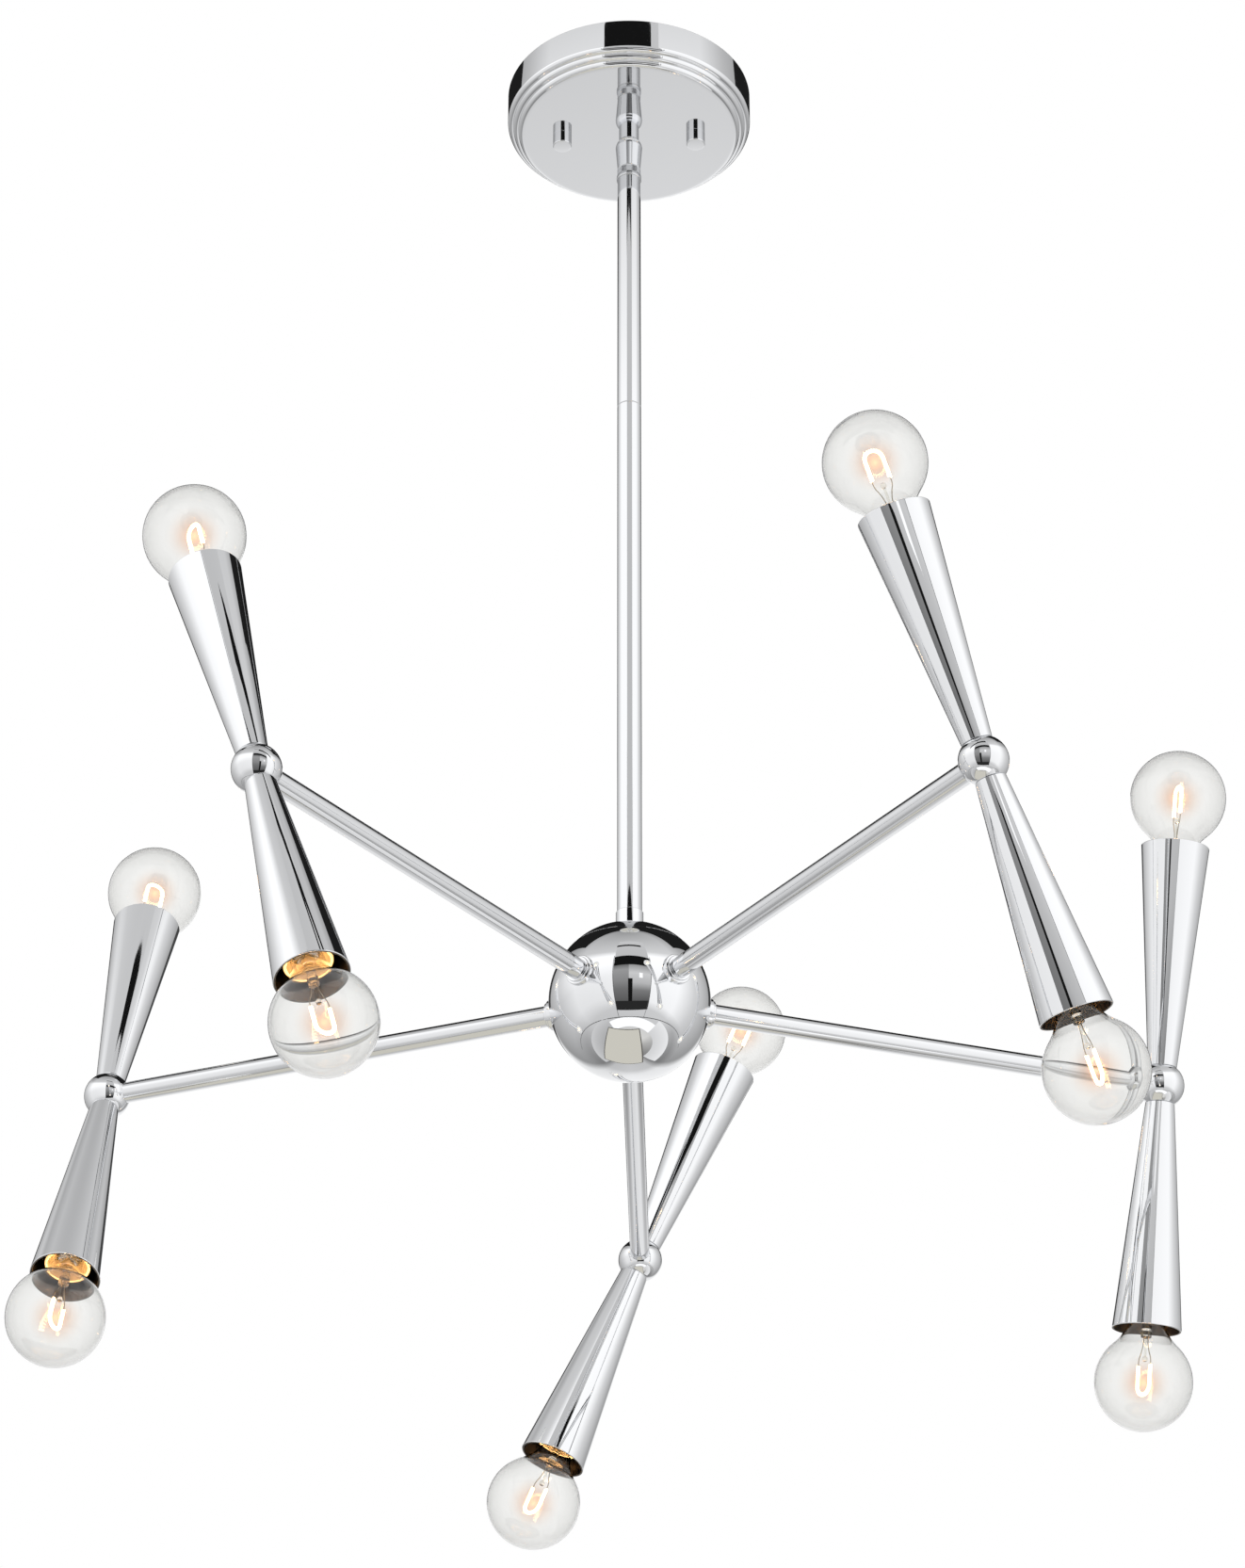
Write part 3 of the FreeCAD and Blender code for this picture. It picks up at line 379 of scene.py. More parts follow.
# %% Zinc, green screw, nylon, PVC and the connectors' plastic
def zinc_plate(name, colour, pitch=None):
    """Bright zinc with a soft spangle, and with thread ridges of a pitch in mm where it is threaded."""
    material, tree, output = new_material(name)
    place = add(tree, "ShaderNodeTexCoord").outputs["Object"]
    spangle = add(tree, "ShaderNodeTexVoronoi", {"Vector": place, "Scale": per_mm(1.6)})
    tone = add(tree, "ShaderNodeMapRange", {"Value": spangle.outputs["Color"], "To Min": 0.26, "To Max": 0.42})
    if pitch:
        # A Wave texture repeats every 2 pi / 20 of its scaled coordinate.
        ridges = add(tree, "ShaderNodeTexWave", {"Vector": place, "Scale": 2 * math.pi / 20 * per_mm(pitch)},
                     wave_type="BANDS", bands_direction="Z")
        height = ridges.outputs["Fac"]
        depth = 0.3 * MM
    else:
        height = spangle.outputs["Distance"]
        depth = 0.004 * MM
    bump = add(tree, "ShaderNodeBump", {"Height": height, "Distance": depth, "Strength": 0.8})
    shader = add(tree, "ShaderNodeBsdfPrincipled", {"Base Color": linear(colour), "Metallic": 1.0,
                                                    "Roughness": tone.outputs["Result"],
                                                    "Normal": bump.outputs["Normal"]})
    tree.links.new(shader.outputs["BSDF"], output.inputs["Surface"])
    return material


def moulding(name, colour, mottle, gloss, cell, depth, coat=0.0):
    """A moulded or sleeved plastic: two close tones, one gloss, and the faint skin of the mould."""
    material, tree, output = new_material(name)
    place = add(tree, "ShaderNodeTexCoord").outputs["Object"]
    cloud = add(tree, "ShaderNodeTexNoise", {"Vector": place, "Scale": per_mm(cell * 8), "Detail": 3.0})
    tone = add(tree, "ShaderNodeMix", {0: cloud.outputs["Fac"], 6: linear(colour), 7: linear(mottle)},
               data_type="RGBA")
    skin = add(tree, "ShaderNodeTexNoise", {"Vector": place, "Scale": per_mm(cell), "Detail": 2.0})
    bump = add(tree, "ShaderNodeBump", {"Height": skin.outputs["Fac"], "Distance": depth * MM, "Strength": 0.7})
    shader = add(tree, "ShaderNodeBsdfPrincipled", {"Base Color": tone.outputs[2], "Roughness": gloss,
                                                    "Normal": bump.outputs["Normal"], "Coat Weight": coat})
    tree.links.new(shader.outputs["BSDF"], output.inputs["Surface"])
    return material


zinc = zinc_plate("zinc_plated_steel", "#B9BCC0")
zinc_fine_thread = zinc_plate("zinc_fine_thread", "#B4B7BB", pitch=0.8)
zinc_pipe_thread = zinc_plate("zinc_pipe_thread", "#B4B7BB", pitch=0.94)
green_dyed_zinc = zinc_plate("green_dyed_zinc", "#2F7A45")
moulded_nylon = moulding("moulded_nylon", "#E8E6DA", "#DEDBCC", 0.38, 0.6, 0.01)
pvc_sleeve = moulding("pvc_sleeve", "#1B1B1C", "#242425", 0.32, 0.5, 0.01)
connector_plastic = moulding("connector_plastic", "#D9731F", "#CC6618", 0.45, 0.5, 0.02)
socket_moulding = moulding("cream_socket_moulding", "#EFE2C6", "#E6D6B4", 0.3, 0.9, 0.02, coat=0.3)
print("hardware finishes:", zinc.name, green_dyed_zinc.name, moulded_nylon.name, pvc_sleeve.name)

# %% [markdown]
# ## Brass, glass and tungsten
#
# The screw shells are drawn brass, warm and half bright. The lamps' glass is clear soda-lime glass, blown in a
# mould, with faint waves; its colour greys towards the limb, partly from a longer path through the glass and
# partly as painted shade for the dark edge of a clear globe. The press of the mount is the same glass, pinched
# while soft. Leads are nickel wire. The filament is a tungsten coil: far too bright for a colour, so it only emits.

# %% Brass, glass, leads and the hot filament
def drawn_brass(name, colour, gloss):
    """Drawn brass with fine marks round its axis."""
    return chrome_plate(name, colour, gloss, 0.1, 0.5, 6.0, 0.004)


def blown_glass(name, face, limb, wave_size, wave_depth):
    """Clear glass with painted shade that darkens it from its face to its limb, with the soft waves of the mould."""
    material, tree, output = new_material(name)
    place = add(tree, "ShaderNodeAttribute", attribute_name="turning").outputs["Vector"]
    slant = add(tree, "ShaderNodeLayerWeight", {"Blend": 0.25})
    # The limb colour mixed in here is painted shade at the glass's edge.
    painted_limb_shade = add(tree, "ShaderNodeMix", {0: slant.outputs["Facing"], 6: linear(face), 7: linear(limb)},
               data_type="RGBA")
    waves = add(tree, "ShaderNodeTexNoise", {"Vector": place, "Scale": per_mm(wave_size), "Detail": 1.0})
    bump = add(tree, "ShaderNodeBump", {"Height": waves.outputs["Fac"], "Distance": wave_depth * MM,
                                        "Strength": 0.6})
    shader = add(tree, "ShaderNodeBsdfPrincipled", {"Base Color": painted_limb_shade.outputs[2], "Roughness": 0.0, "IOR": 1.52,
                                                    "Transmission Weight": 1.0,
                                                    "Normal": bump.outputs["Normal"]})
    tree.links.new(shader.outputs["BSDF"], output.inputs["Surface"])
    return material


def hot_tungsten(name, colour, strength):
    """A filament at full heat. Its light on other pieces comes from a lamp, so it is not sampled as one."""
    material, tree, output = new_material(name)
    place = add(tree, "ShaderNodeTexCoord").outputs["Object"]
    flicker = add(tree, "ShaderNodeTexNoise", {"Vector": place, "Scale": per_mm(3)})
    heat = add(tree, "ShaderNodeMapRange", {"Value": flicker.outputs["Fac"], "To Min": strength * 0.7,
                                            "To Max": strength * 1.3})
    glow = add(tree, "ShaderNodeEmission", {"Color": linear(colour), "Strength": heat.outputs["Result"]})
    tree.links.new(glow.outputs["Emission"], output.inputs["Surface"])
    material.cycles.emission_sampling = "NONE"
    return material


screw_shell_brass = drawn_brass("screw_shell_brass", "#C9AC7C", 0.30)
rolled_cap_brass = drawn_brass("rolled_cap_brass", "#D8B06A", 0.28)
nickel_lead = drawn_brass("nickel_lead", "#B8AE9C", 0.3)
# The limb colours of both glasses are painted shade at the edge of the glass.
clear_bulb_glass = blown_glass("clear_bulb_glass", "#FBFBFA", "#C4C4C2", 14, 0.002)
pressed_mount_glass = blown_glass("pressed_mount_glass", "#F4F2EC", "#D6D2C8", 2.5, 0.05)
tungsten = hot_tungsten("hot_tungsten_coil", "#FFD9A0", 14.0)
print("lamp finishes:", clear_bulb_glass.name, screw_shell_brass.name, tungsten.name)

# %% [markdown]
# ## The hidden hardware keeps its solids
#
# The strap, the nuts, the bridge, the nipple, the seats and the wires are small, hidden and already the right
# shape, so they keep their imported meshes. Each still gets its own finish.

# %% Finish the carried-over nodes
carried = {
    zinc: ["crossbar", "stud_nuts", "swivel_nut", "hub_bridge", "hub_nut"],
    zinc_fine_thread: ["canopy_studs"],
    zinc_pipe_thread: ["stem_coupling", "hub_nipple"],
    green_dyed_zinc: ["ground_screw"],
    moulded_nylon: ["swivel_upper_seat", "swivel_lower_seat"],
    pvc_sleeve: ["stem_wires"] + [f"arm_{arm}_wires" for arm in ARMS],
    connector_plastic: ["wire_connectors"],
}
for finish, names in carried.items():
    for name in names:
        materials = frame["nodes"][name].data.materials
        materials.clear()
        materials.append(finish)
print("carried-over nodes:", sum(len(names) for names in carried.values()))

# %% [markdown]
# ## Canopy
#
# The canopy is one disc of sheet, spun over a form: a straight side, three rounded steps and a flat plate bright
# enough to mirror the knobs and the swivel. Each step is a quarter round that ends flat, so a fine line shows
# where the next one starts.

# %% Spin the canopy dish
CANOPY_R = 63.5
CANOPY_SIDE = 16.6
CANOPY_PLATE_R = 55.3
CANOPY_WALL = 1.5
CANOPY_STEPS = 3
STUD_PLACE = 34.925


def canopy_edge(inset, bends=8):
    """The side and the quarter-round steps, moved inwards by a wall."""
    run_in = (CANOPY_R - CANOPY_PLATE_R) / CANOPY_STEPS
    fall = (-PLATE_Z - CANOPY_SIDE) / CANOPY_STEPS
    points = []
    for step in range(CANOPY_STEPS):
        radius = CANOPY_R - inset - step * run_in
        height = -CANOPY_SIDE + inset - step * fall
        for k in range(bends + 1):
            turn = math.radians(90 * k / bends)
            points.append((radius - run_in * (1 - math.cos(turn)), height - fall * math.sin(turn)))
    return points


outside = softened([(CANOPY_R - CANOPY_WALL, 0, 0.2), (CANOPY_R, 0, 0.3), canopy_edge(0)[0]])[:-1]
inside = canopy_edge(CANOPY_WALL)
inside[-1] = (inside[-1][0], PLATE_Z + CANOPY_WALL)
plate = [(r, PLATE_Z) for r in range(54, 4, -1)] + [(4.8, PLATE_Z)]
back = [(4.8, PLATE_Z + CANOPY_WALL)] + [(r, PLATE_Z + CANOPY_WALL) for r in range(5, 53)]
dish = turned(outside + canopy_edge(0) + plate + back + inside[::-1], steps=192)
for side in (-1, 1):
    dish = drilled(dish, (side * STUD_PLACE, 0, PLATE_Z - 5), (0, 0, 1), 2.4)
piece("canopy_dish", dish, spun_chrome, "ceiling", ["canopy"])
print("canopy faces:", len(dish.polygons))

# %% [markdown]
# ## Cap knobs
#
# Two plain turned knobs hold the canopy up. They are blind cap nuts: a straight side, a small broken edge, and a
# flat foot with the faint rings of a parting tool.

# %% Turn the two knobs
KNOB_R = 4.9
KNOB_HEIGHT = 7.0
knob = turned(softened([(0, -KNOB_HEIGHT), (KNOB_R, -KNOB_HEIGHT, 0.55), (KNOB_R, 0, 0.12), (2.1, 0),
                        (2.1, -5.4), (0, -5.4)]), steps=72)
for side, word in ((-1, "left"), (1, "right")):
    place = Matrix.Translation((side * STUD_PLACE * MM, 0, PLATE_Z * MM))
    piece(f"canopy_knob_{word}", knob, turned_chrome, "ceiling", ["canopy_knobs"], place)

# %% [markdown]
# ## Ball swivel
#
# A drilled stud comes down through the plate, narrows to a waist and ends in a ball. A barrel with a round shoulder
# hangs on the ball between two nylon seats, and a knurled collar closes it from below. The neck's foot is cupped
# to the barrel's shoulder with a tenth of a millimetre between, so the stem can lean 15 degrees any way. These
# outlines repeat the solid's own numbers, because the pieces turn against each other.

# %% Turn the stud, the barrel and the collar
BALL_R = 4.2
WAIST_R = 2.3
NECK_R = 5.25
SHOULDER_R = 7.0
CUP_R = SHOULDER_R + 0.1
STUD_R = 4.75
SEAT_R = 4.9
THREAD_PITCH = 0.94
THREAD_DEPTH_STUD = 0.2
STUD_BORE_R = 1.5
TILT_LIMIT = 15
TILT_SPARE = 1.5
BARREL_FOOT_R = 6.0
BARREL_FOOT = -13.7


def sphere_angle(radius, sphere_r):
    """The angle from a sphere's top, in degrees, where it has a radius from the axis."""
    return math.degrees(math.asin(radius / sphere_r))


def stud_thread(turn, radius, height):
    """A rolled thread on the part of the stud above the plate."""
    threaded = radius > 4 and height > PLATE_Z + CANOPY_WALL + 0.2 - PIVOT_Z
    return THREAD_DEPTH_STUD * (math.cos(2 * math.pi * height / THREAD_PITCH - turn) - 1) if threaded else 0


stud_top = PLATE_Z + CANOPY_WALL + 9 - PIVOT_Z
plate_level = PLATE_Z - PIVOT_Z
stud = [(STUD_BORE_R, stud_top)] + run((4.6, stud_top), (STUD_R, plate_level + 0.05), 90)
stud += [(STUD_R, plate_level), (NECK_R, plate_level)]
stud += bow((0, 0), CUP_R, sphere_angle(NECK_R, CUP_R), sphere_angle(WAIST_R, CUP_R), 8)
stud += bow((0, 0), BALL_R, sphere_angle(WAIST_R, BALL_R), 180 - sphere_angle(STUD_BORE_R, BALL_R), 24)
piece("swivel_neck_and_ball", turned(stud, relief=stud_thread), turned_chrome, "ceiling", ["swivel_stud"],
      on_stem(PIVOT_Z))

lean_room = math.degrees(math.acos(math.cos(math.radians(TILT_LIMIT)) ** 2)) + TILT_SPARE
inner_mouth = sphere_angle(WAIST_R, SEAT_R) + lean_room
outer_mouth = sphere_angle(WAIST_R, SHOULDER_R) + lean_room
barrel = bow((0, 0), SEAT_R, 90, inner_mouth, 10) + bow((0, 0), SHOULDER_R, outer_mouth, 90, 16)
barrel += softened([(SHOULDER_R, 0), (BARREL_FOOT_R, BARREL_FOOT, 0.15), (SEAT_R, BARREL_FOOT)])[1:]
piece("swivel_barrel_shell", turned(barrel), wheel_polished_chrome, "fixture", ["swivel_barrel"],
      on_stem(PIVOT_Z))

# %% [markdown]
# The collar's band has a straight knurl, pressed by two toothed wheels. Sixty ridges round a 12 mm band are
# 0.63 mm apart, which is what a fine straight knurl has.

# %% Knurl the collar
KNURL_RIDGES = 60
KNURL_DEPTH = 0.16
BAND_R = 6.05
LIP_R = 6.45
SPIGOT_R = 4.85
KNURL_FOOT = -18.6
COLLAR_FOOT = COLLAR_FOOT_Z - PIVOT_Z


def knurl(turn, radius, height):
    """Straight ridges on the band between the barrel and the lip."""
    in_band = abs(radius - BAND_R) < 0.05 and KNURL_FOOT + 0.3 < height < BARREL_FOOT - 0.3
    return KNURL_DEPTH * (abs((turn * KNURL_RIDGES / (2 * math.pi)) % 1 - 0.5) * 2 - 1) if in_band else 0


throat = on_sphere(SEAT_R, 135)
collar = bow((0, 0), SEAT_R, 135, 180 - sphere_angle(SPIGOT_R, SEAT_R), 8)[1:]
collar += [(SPIGOT_R, BARREL_FOOT), (BAND_R, BARREL_FOOT), (BAND_R, BARREL_FOOT - 0.28)]
collar += run((BAND_R, BARREL_FOOT - 0.42), (BAND_R, KNURL_FOOT + 0.42), 6)
collar += [(BAND_R, KNURL_FOOT + 0.28)]
collar += softened([(BAND_R, KNURL_FOOT), (LIP_R, KNURL_FOOT, 0.12), (LIP_R, COLLAR_FOOT, 0.5), (5.0, COLLAR_FOOT)])
collar += [(5.0, BARREL_FOOT), (throat[0], BARREL_FOOT), throat]
piece("knurled_collar", turned(collar, steps=KNURL_RIDGES * 6, relief=knurl), knurled_chrome, "fixture",
      ["swivel_collar"], on_stem(PIVOT_Z))
print("collar foot in mm below the pivot:", round(COLLAR_FOOT, 2))

# %% [markdown]
# ## The stem's two rods
#
# The stem is drawn tube, 12 mm across, in a 6 inch and a 12 inch length that meet in a fine bevelled line. Drawing
# leaves marks along the tube, so its reflections are softer across than along.

# %% Draw the two rods
ROD_R = 6.0
ROD_BORE_R = 4.6
SPIGOT_BORE_R = 3.4
upper = softened([(SPIGOT_BORE_R, PIVOT_Z + BARREL_FOOT), (4.95, PIVOT_Z + BARREL_FOOT), (4.95, COLLAR_FOOT_Z),
                  (ROD_R, COLLAR_FOOT_Z, 0.1), (ROD_R, ROD_JOINT_Z + 0.35), (ROD_R - 0.35, ROD_JOINT_Z),
                  (ROD_BORE_R, ROD_JOINT_Z), (ROD_BORE_R, COLLAR_FOOT_Z - 14), (SPIGOT_BORE_R, COLLAR_FOOT_Z - 14)])
lower = softened([(ROD_BORE_R, ROD_JOINT_Z), (ROD_R - 0.35, ROD_JOINT_Z), (ROD_R, ROD_JOINT_Z - 0.35),
                  (ROD_R, ROD_FOOT_Z, 0.1), (5.0, ROD_FOOT_Z), (5.0, ROD_FOOT_Z + 26), (ROD_BORE_R, ROD_FOOT_Z + 26)])
piece("stem_upper_rod", turned(upper), drawn_tube_chrome, "fixture", ["stem_upper"])
piece("stem_lower_rod", turned(lower), drawn_tube_chrome, "fixture", ["stem_lower"])

# %% [markdown]
# ## Hub
#
# The hub is a hollow ball in two parts, pressed from sheet and polished on a wheel. The lid lifts off for wiring
# and sits on an inner rim, so its seam is only a hairline. The bowl is drilled for the five bushings. A flared ring
# hides the place where the rod meets the lid.

# %% Press the bowl and the lid, and turn the ring
HUB_R = 38.3
HUB_INNER_R = 35.3
SEAM = 24.0
LEDGE_TOP = 21.0
LEDGE_FOOT = 17.0
BUSHING_R = 5.6


def height_on(sphere_r, radius):
    """Height of a sphere's surface above its centre at a radius from the axis."""
    return math.sqrt(sphere_r ** 2 - radius ** 2)


seam_angle = math.degrees(math.acos(SEAM / HUB_R))
inner_seam_angle = math.degrees(math.acos(LEDGE_FOOT / HUB_INNER_R))
ledge_r = height_on(HUB_INNER_R, SEAM) - 3
bowl = bow((0, 0), HUB_R, seam_angle + 0.2, 180, 84)
bowl += bow((0, 0), HUB_INNER_R, 180, inner_seam_angle, 80)
bowl += [(ledge_r, LEDGE_FOOT), (ledge_r, LEDGE_TOP), (height_on(HUB_INNER_R, LEDGE_TOP), LEDGE_TOP),
         (height_on(HUB_INNER_R, SEAM), SEAM), (height_on(HUB_R, SEAM) - 0.15, SEAM)]
bowl_mesh = turned(bowl, steps=160)
for arm in ARMS:
    bowl_mesh = drilled(bowl_mesh, (0, 0, 0), joints[f"arm_{arm}_turn"]["axis"], BUSHING_R)
piece("hub_bowl", bowl_mesh, wheel_polished_chrome, "fixture", ["hub_shell"], on_stem(HUB_Z))

rim_r = height_on(HUB_INNER_R, SEAM) - 0.05
lid = [(5.0, HUB_R + 0.6), (ROD_R, HUB_R + 0.6)]
lid += bow((0, 0), HUB_R, sphere_angle(ROD_R, HUB_R), seam_angle - 0.2, 40)
lid += [(height_on(HUB_R, SEAM) - 0.15, SEAM), (rim_r, SEAM), (rim_r, LEDGE_TOP), (rim_r - 3, LEDGE_TOP)]
lid += bow((0, 0), HUB_INNER_R, sphere_angle(rim_r - 3, HUB_INNER_R), sphere_angle(5.0, HUB_INNER_R), 30)
piece("hub_lid", turned(lid, steps=160), wheel_polished_chrome, "fixture", ["hub_cap"], on_stem(HUB_Z))

RING_R = 6.6
FLARE = 3.0
ring_seat = HUB_R + 0.05
flare_top = height_on(ring_seat, RING_R + FLARE) + FLARE
ring = softened([(6.05, height_on(ring_seat, 6.05)), (6.05, HUB_R + 9.6, 0.1), (RING_R, HUB_R + 9.6, 0.25),
                 (RING_R, flare_top)])
ring += bow((RING_R + FLARE, flare_top), FLARE, 270, 180, 10)[1:]
ring += bow((0, 0), ring_seat, sphere_angle(RING_R + FLARE, ring_seat), sphere_angle(6.05, ring_seat), 4)[1:-1]
piece("stem_foot_ring", turned(ring), turned_chrome, "fixture", ["hub_ring"], on_stem(HUB_Z))
print("hub seam at", SEAM, "mm above the centre; bowl faces:", len(bowl_mesh.polygons))

# %% [markdown]
# ## Bushings and arms
#
# Each arm turns in a stepped bushing: two small rings outside the ball. The arm itself is drawn tube, 10 mm across,
# with a shoulder that runs a tenth of a millimetre off the bushing. Both lie along the arm's own axis.

# %% Turn the bushings and draw the arms
SHOULDER_PLACE = HUB_R + 2.7
ARM_R = 5.0
ARM_END = ARM_REACH - height_on(11.25, ARM_R) + 3


def along_arm(arm):
    """The place of a piece that lies along an arm, its own zero at the hub's centre."""
    head = heads[arm]
    out, side, up = (Vector(head.col[k][:3]) for k in range(3))
    rows = [(up[k], -side[k], out[k], hub[k]) for k in range(3)]
    return Matrix(rows + [(0, 0, 0, 1)])


bushing = turned(softened([
    (4.05, HUB_INNER_R - 4), (BUSHING_R, HUB_INNER_R - 4), (BUSHING_R, height_on(HUB_R, BUSHING_R)),
    (7.3, height_on(HUB_R, 7.3)),
    (7.3, HUB_R + 1.4, 0.35), (6.3, HUB_R + 1.4), (6.3, HUB_R + 2.6, 0.35), (4.05, HUB_R + 2.6)]), steps=72)
arm_rod = turned(softened([
    (2.8, SHOULDER_PLACE - 13), (4.0, SHOULDER_PLACE - 13), (4.0, SHOULDER_PLACE), (ARM_R, SHOULDER_PLACE, 0.3),
    (ARM_R, ARM_END), (4.2, ARM_END), (4.2, SHOULDER_PLACE + 6.5), (2.8, SHOULDER_PLACE + 6.5)]))
for arm in ARMS:
    piece(f"arm_bushing_{arm}", bushing, turned_chrome, "fixture", ["arm_collars"], along_arm(arm))
    piece(f"arm_{arm}_rod", arm_rod, drawn_tube_chrome, f"arm_{arm}", [f"arm_{arm}_tube"], along_arm(arm))
print("arm rods run from", round(SHOULDER_PLACE, 1), "to", round(ARM_END, 1), "mm")

# %% [markdown]
# ## Small balls and cones
#
# The small ball is turned from bar, faced flat above and below for the cones and bored on one side for the arm.
# A cone is spun from sheet, 7 mm to almost 17 mm in radius, and chromed outside; inside, the plating is thin and
# dull, and its dark brown colour is also painted shade, so the mouths of the lower cones look dark round their sockets.

# %% Turn the balls and spin the cones
BALL_OUT = 11.25
SPOT_R = 6.7
CAVITY_R = 6.5
STEM_BORE = 4.05
FLAT = height_on(BALL_OUT, SPOT_R)
spot_angle = sphere_angle(SPOT_R, BALL_OUT)
bore_angle = sphere_angle(STEM_BORE, CAVITY_R)
knuckle = turned([(STEM_BORE, FLAT)] + bow((0, 0), BALL_OUT, spot_angle, 180 - spot_angle, 44)
                 + [(STEM_BORE, -FLAT)] + bow((0, 0), CAVITY_R, 180 - bore_angle, bore_angle, 26), steps=112)
knuckle = drilled(knuckle, (0, 0, 0), (-1, 0, 0), ARM_R + 0.05)

CONE_FOOT_R = 7.1
CONE_MOUTH_R = 16.75
MOUTH = 120.0
CONE_WALL = 1.1
slope = (CONE_MOUTH_R - CONE_FOOT_R) / (MOUTH - FLAT)
cone = turned(softened([
    (STEM_BORE, FLAT), (CONE_FOOT_R, FLAT, 0.3), (CONE_MOUTH_R, MOUTH, 0.3), (CONE_MOUTH_R - CONE_WALL, MOUTH, 0.1),
    (CONE_FOOT_R + slope * 2.2 - CONE_WALL, FLAT + 2.2), (STEM_BORE, FLAT + 2.2)]), steps=128)
# Faces inside the wall get the dull finish whose dark colour is painted shade.
for face in cone.polygons:
    centre = face.center / MM
    outer_r = CONE_FOOT_R + slope * (centre.z - FLAT)
    face.material_index = int(centre.z > FLAT + 1 and math.hypot(centre.x, centre.y) < outer_r - CONE_WALL / 2)
print("cone faces inside:", sum(face.material_index for face in cone.polygons), "of", len(cone.polygons))

# %% [markdown]
# ## Lamp sockets
#
# In each cone stands a cream moulded socket with a wide rim and an open mouth, and in its well a brass screw shell
# whose thread was rolled in from outside. Small lamp threads have a pitch of 2.54 mm. The shell and the lamp's cap
# are both bent by the same thread, so they stay parallel, as the real ones do.

# %% Mould the socket and roll its screw shell
CAP_PITCH = 2.54
THREAD_DEPTH = 0.4
SOCKET_TOP = 113.0
SOCKET_FOOT = 75.0
MOUTH_FLOOR = 102.0
WELL_FLOOR = 88.8
SHELL_R = 6.55
CAP_R = 5.9
CAP_TOP = 108.0
LAMP_TIP = 89.4


def lamp_thread(turn, radius, height):
    """The rolled thread of the small screw cap and of its shell, below their top beads."""
    reach = min(1.0, max(0.0, (106.0 - height) / 2.0), max(0.0, (height - 91.0) / 1.5) if radius < 6 else 1.0)
    return -THREAD_DEPTH / 2 * reach * (1 - math.cos(2 * math.pi * height / CAP_PITCH - turn)) if radius > 5 else 0


flange = FLAT + 2.2
socket = turned(softened([
    (2.6, FLAT - 2.6), (4.0, FLAT - 2.6), (4.0, flange), (5.7, flange), (5.7, flange + 2.4, 0.3), (4.0, flange + 2.4),
    (4.0, SOCKET_FOOT), (8.6, SOCKET_FOOT, 0.8), (8.6, SOCKET_TOP - 15), (10.9, SOCKET_TOP - 12.7, 0.6),
    (10.9, SOCKET_TOP, 0.7), (9.4, SOCKET_TOP, 0.35), (9.4, MOUTH_FLOOR, 0.5), (6.6, MOUTH_FLOOR),
    (6.6, WELL_FLOOR), (2.6, WELL_FLOOR)]), steps=72)
shell = turned(run((CAP_R + 0.05, MOUTH_FLOOR + 3), (CAP_R + 0.05, WELL_FLOOR), 44)
               + run((SHELL_R, WELL_FLOOR), (SHELL_R, MOUTH_FLOOR + 3), 44), steps=72, relief=lamp_thread)
print("socket faces:", len(socket.polygons), "screw shell faces:", len(shell.polygons))

# %% [markdown]
# ## Globe lamps
#
# The lamp is a blown globe, 47 mm across, swept into a neck that ends in a rolled brass screw cap. A flared glass
# mount closes the neck and rises to a press that grips two nickel leads, and a thin glass arbor above it carries a
# bead. The leads bow outwards to the filament, a coiled tungsten wire in an upturned U. Both walls of the envelope
# are modelled, because light bends twice in real glass and the second wall gives the fine line inside the limb.

# %% Blow the globe, roll its cap, press its mount
GLOBE_R = 23.5
GLOBE_PLACE = 145.3
GLASS = 0.8
NECK = 7.2
SWEEP_R = 26.0
sweep_r = NECK + SWEEP_R
sweep_z = GLOBE_PLACE - math.sqrt((GLOBE_R + SWEEP_R) ** 2 - sweep_r ** 2)
meet = math.degrees(math.asin(sweep_r / (GLOBE_R + SWEEP_R)))
globe = turned([(NECK, CAP_TOP)] + bow((sweep_r, sweep_z), SWEEP_R, -90, -meet, 12)[:-1]
               + bow((0, GLOBE_PLACE), GLOBE_R, 180 - meet, 0, 44)
               + bow((0, GLOBE_PLACE), GLOBE_R - GLASS, 0, 180 - meet, 44)
               + bow((sweep_r, sweep_z), SWEEP_R + GLASS, -meet, -90, 12)[1:] + [(NECK - GLASS, CAP_TOP)])
cap = turned([(0, LAMP_TIP), (3.2, LAMP_TIP)] + run((CAP_R, LAMP_TIP + 1.6), (CAP_R, CAP_TOP), 50)
             + [(0, CAP_TOP)], steps=72, relief=lamp_thread)
PRESS_TOP = 124.5
BEAD_PLACE = 134.0
bead_start = 180 - sphere_angle(0.6, 1.4)
mount = turned(softened([
    (0, CAP_TOP), (6.35, CAP_TOP), (6.35, CAP_TOP + 0.8, 0.3), (2.0, CAP_TOP + 6.8, 2.5), (2.0, 119.9, 0.5),
    (2.6, 120.5, 0.5), (2.6, PRESS_TOP, 0.7), (0.6, PRESS_TOP, 0.4), on_sphere(1.4, bead_start, BEAD_PLACE)])
    + bow((0, BEAD_PLACE), 1.4, bead_start, 0, 10)[1:], steps=48)
print("globe faces:", len(globe.polygons), "cap faces:", len(cap.polygons), "mount faces:", len(mount.polygons))

# %% [markdown]
# A wire is a line with thickness, so the leads and the coil start as curves with a round bevel and are turned to
# meshes at once. A real coil is finer than the photograph can show. It is wound here with a pitch of 1 mm, so that
# it still shows as a coil up close.

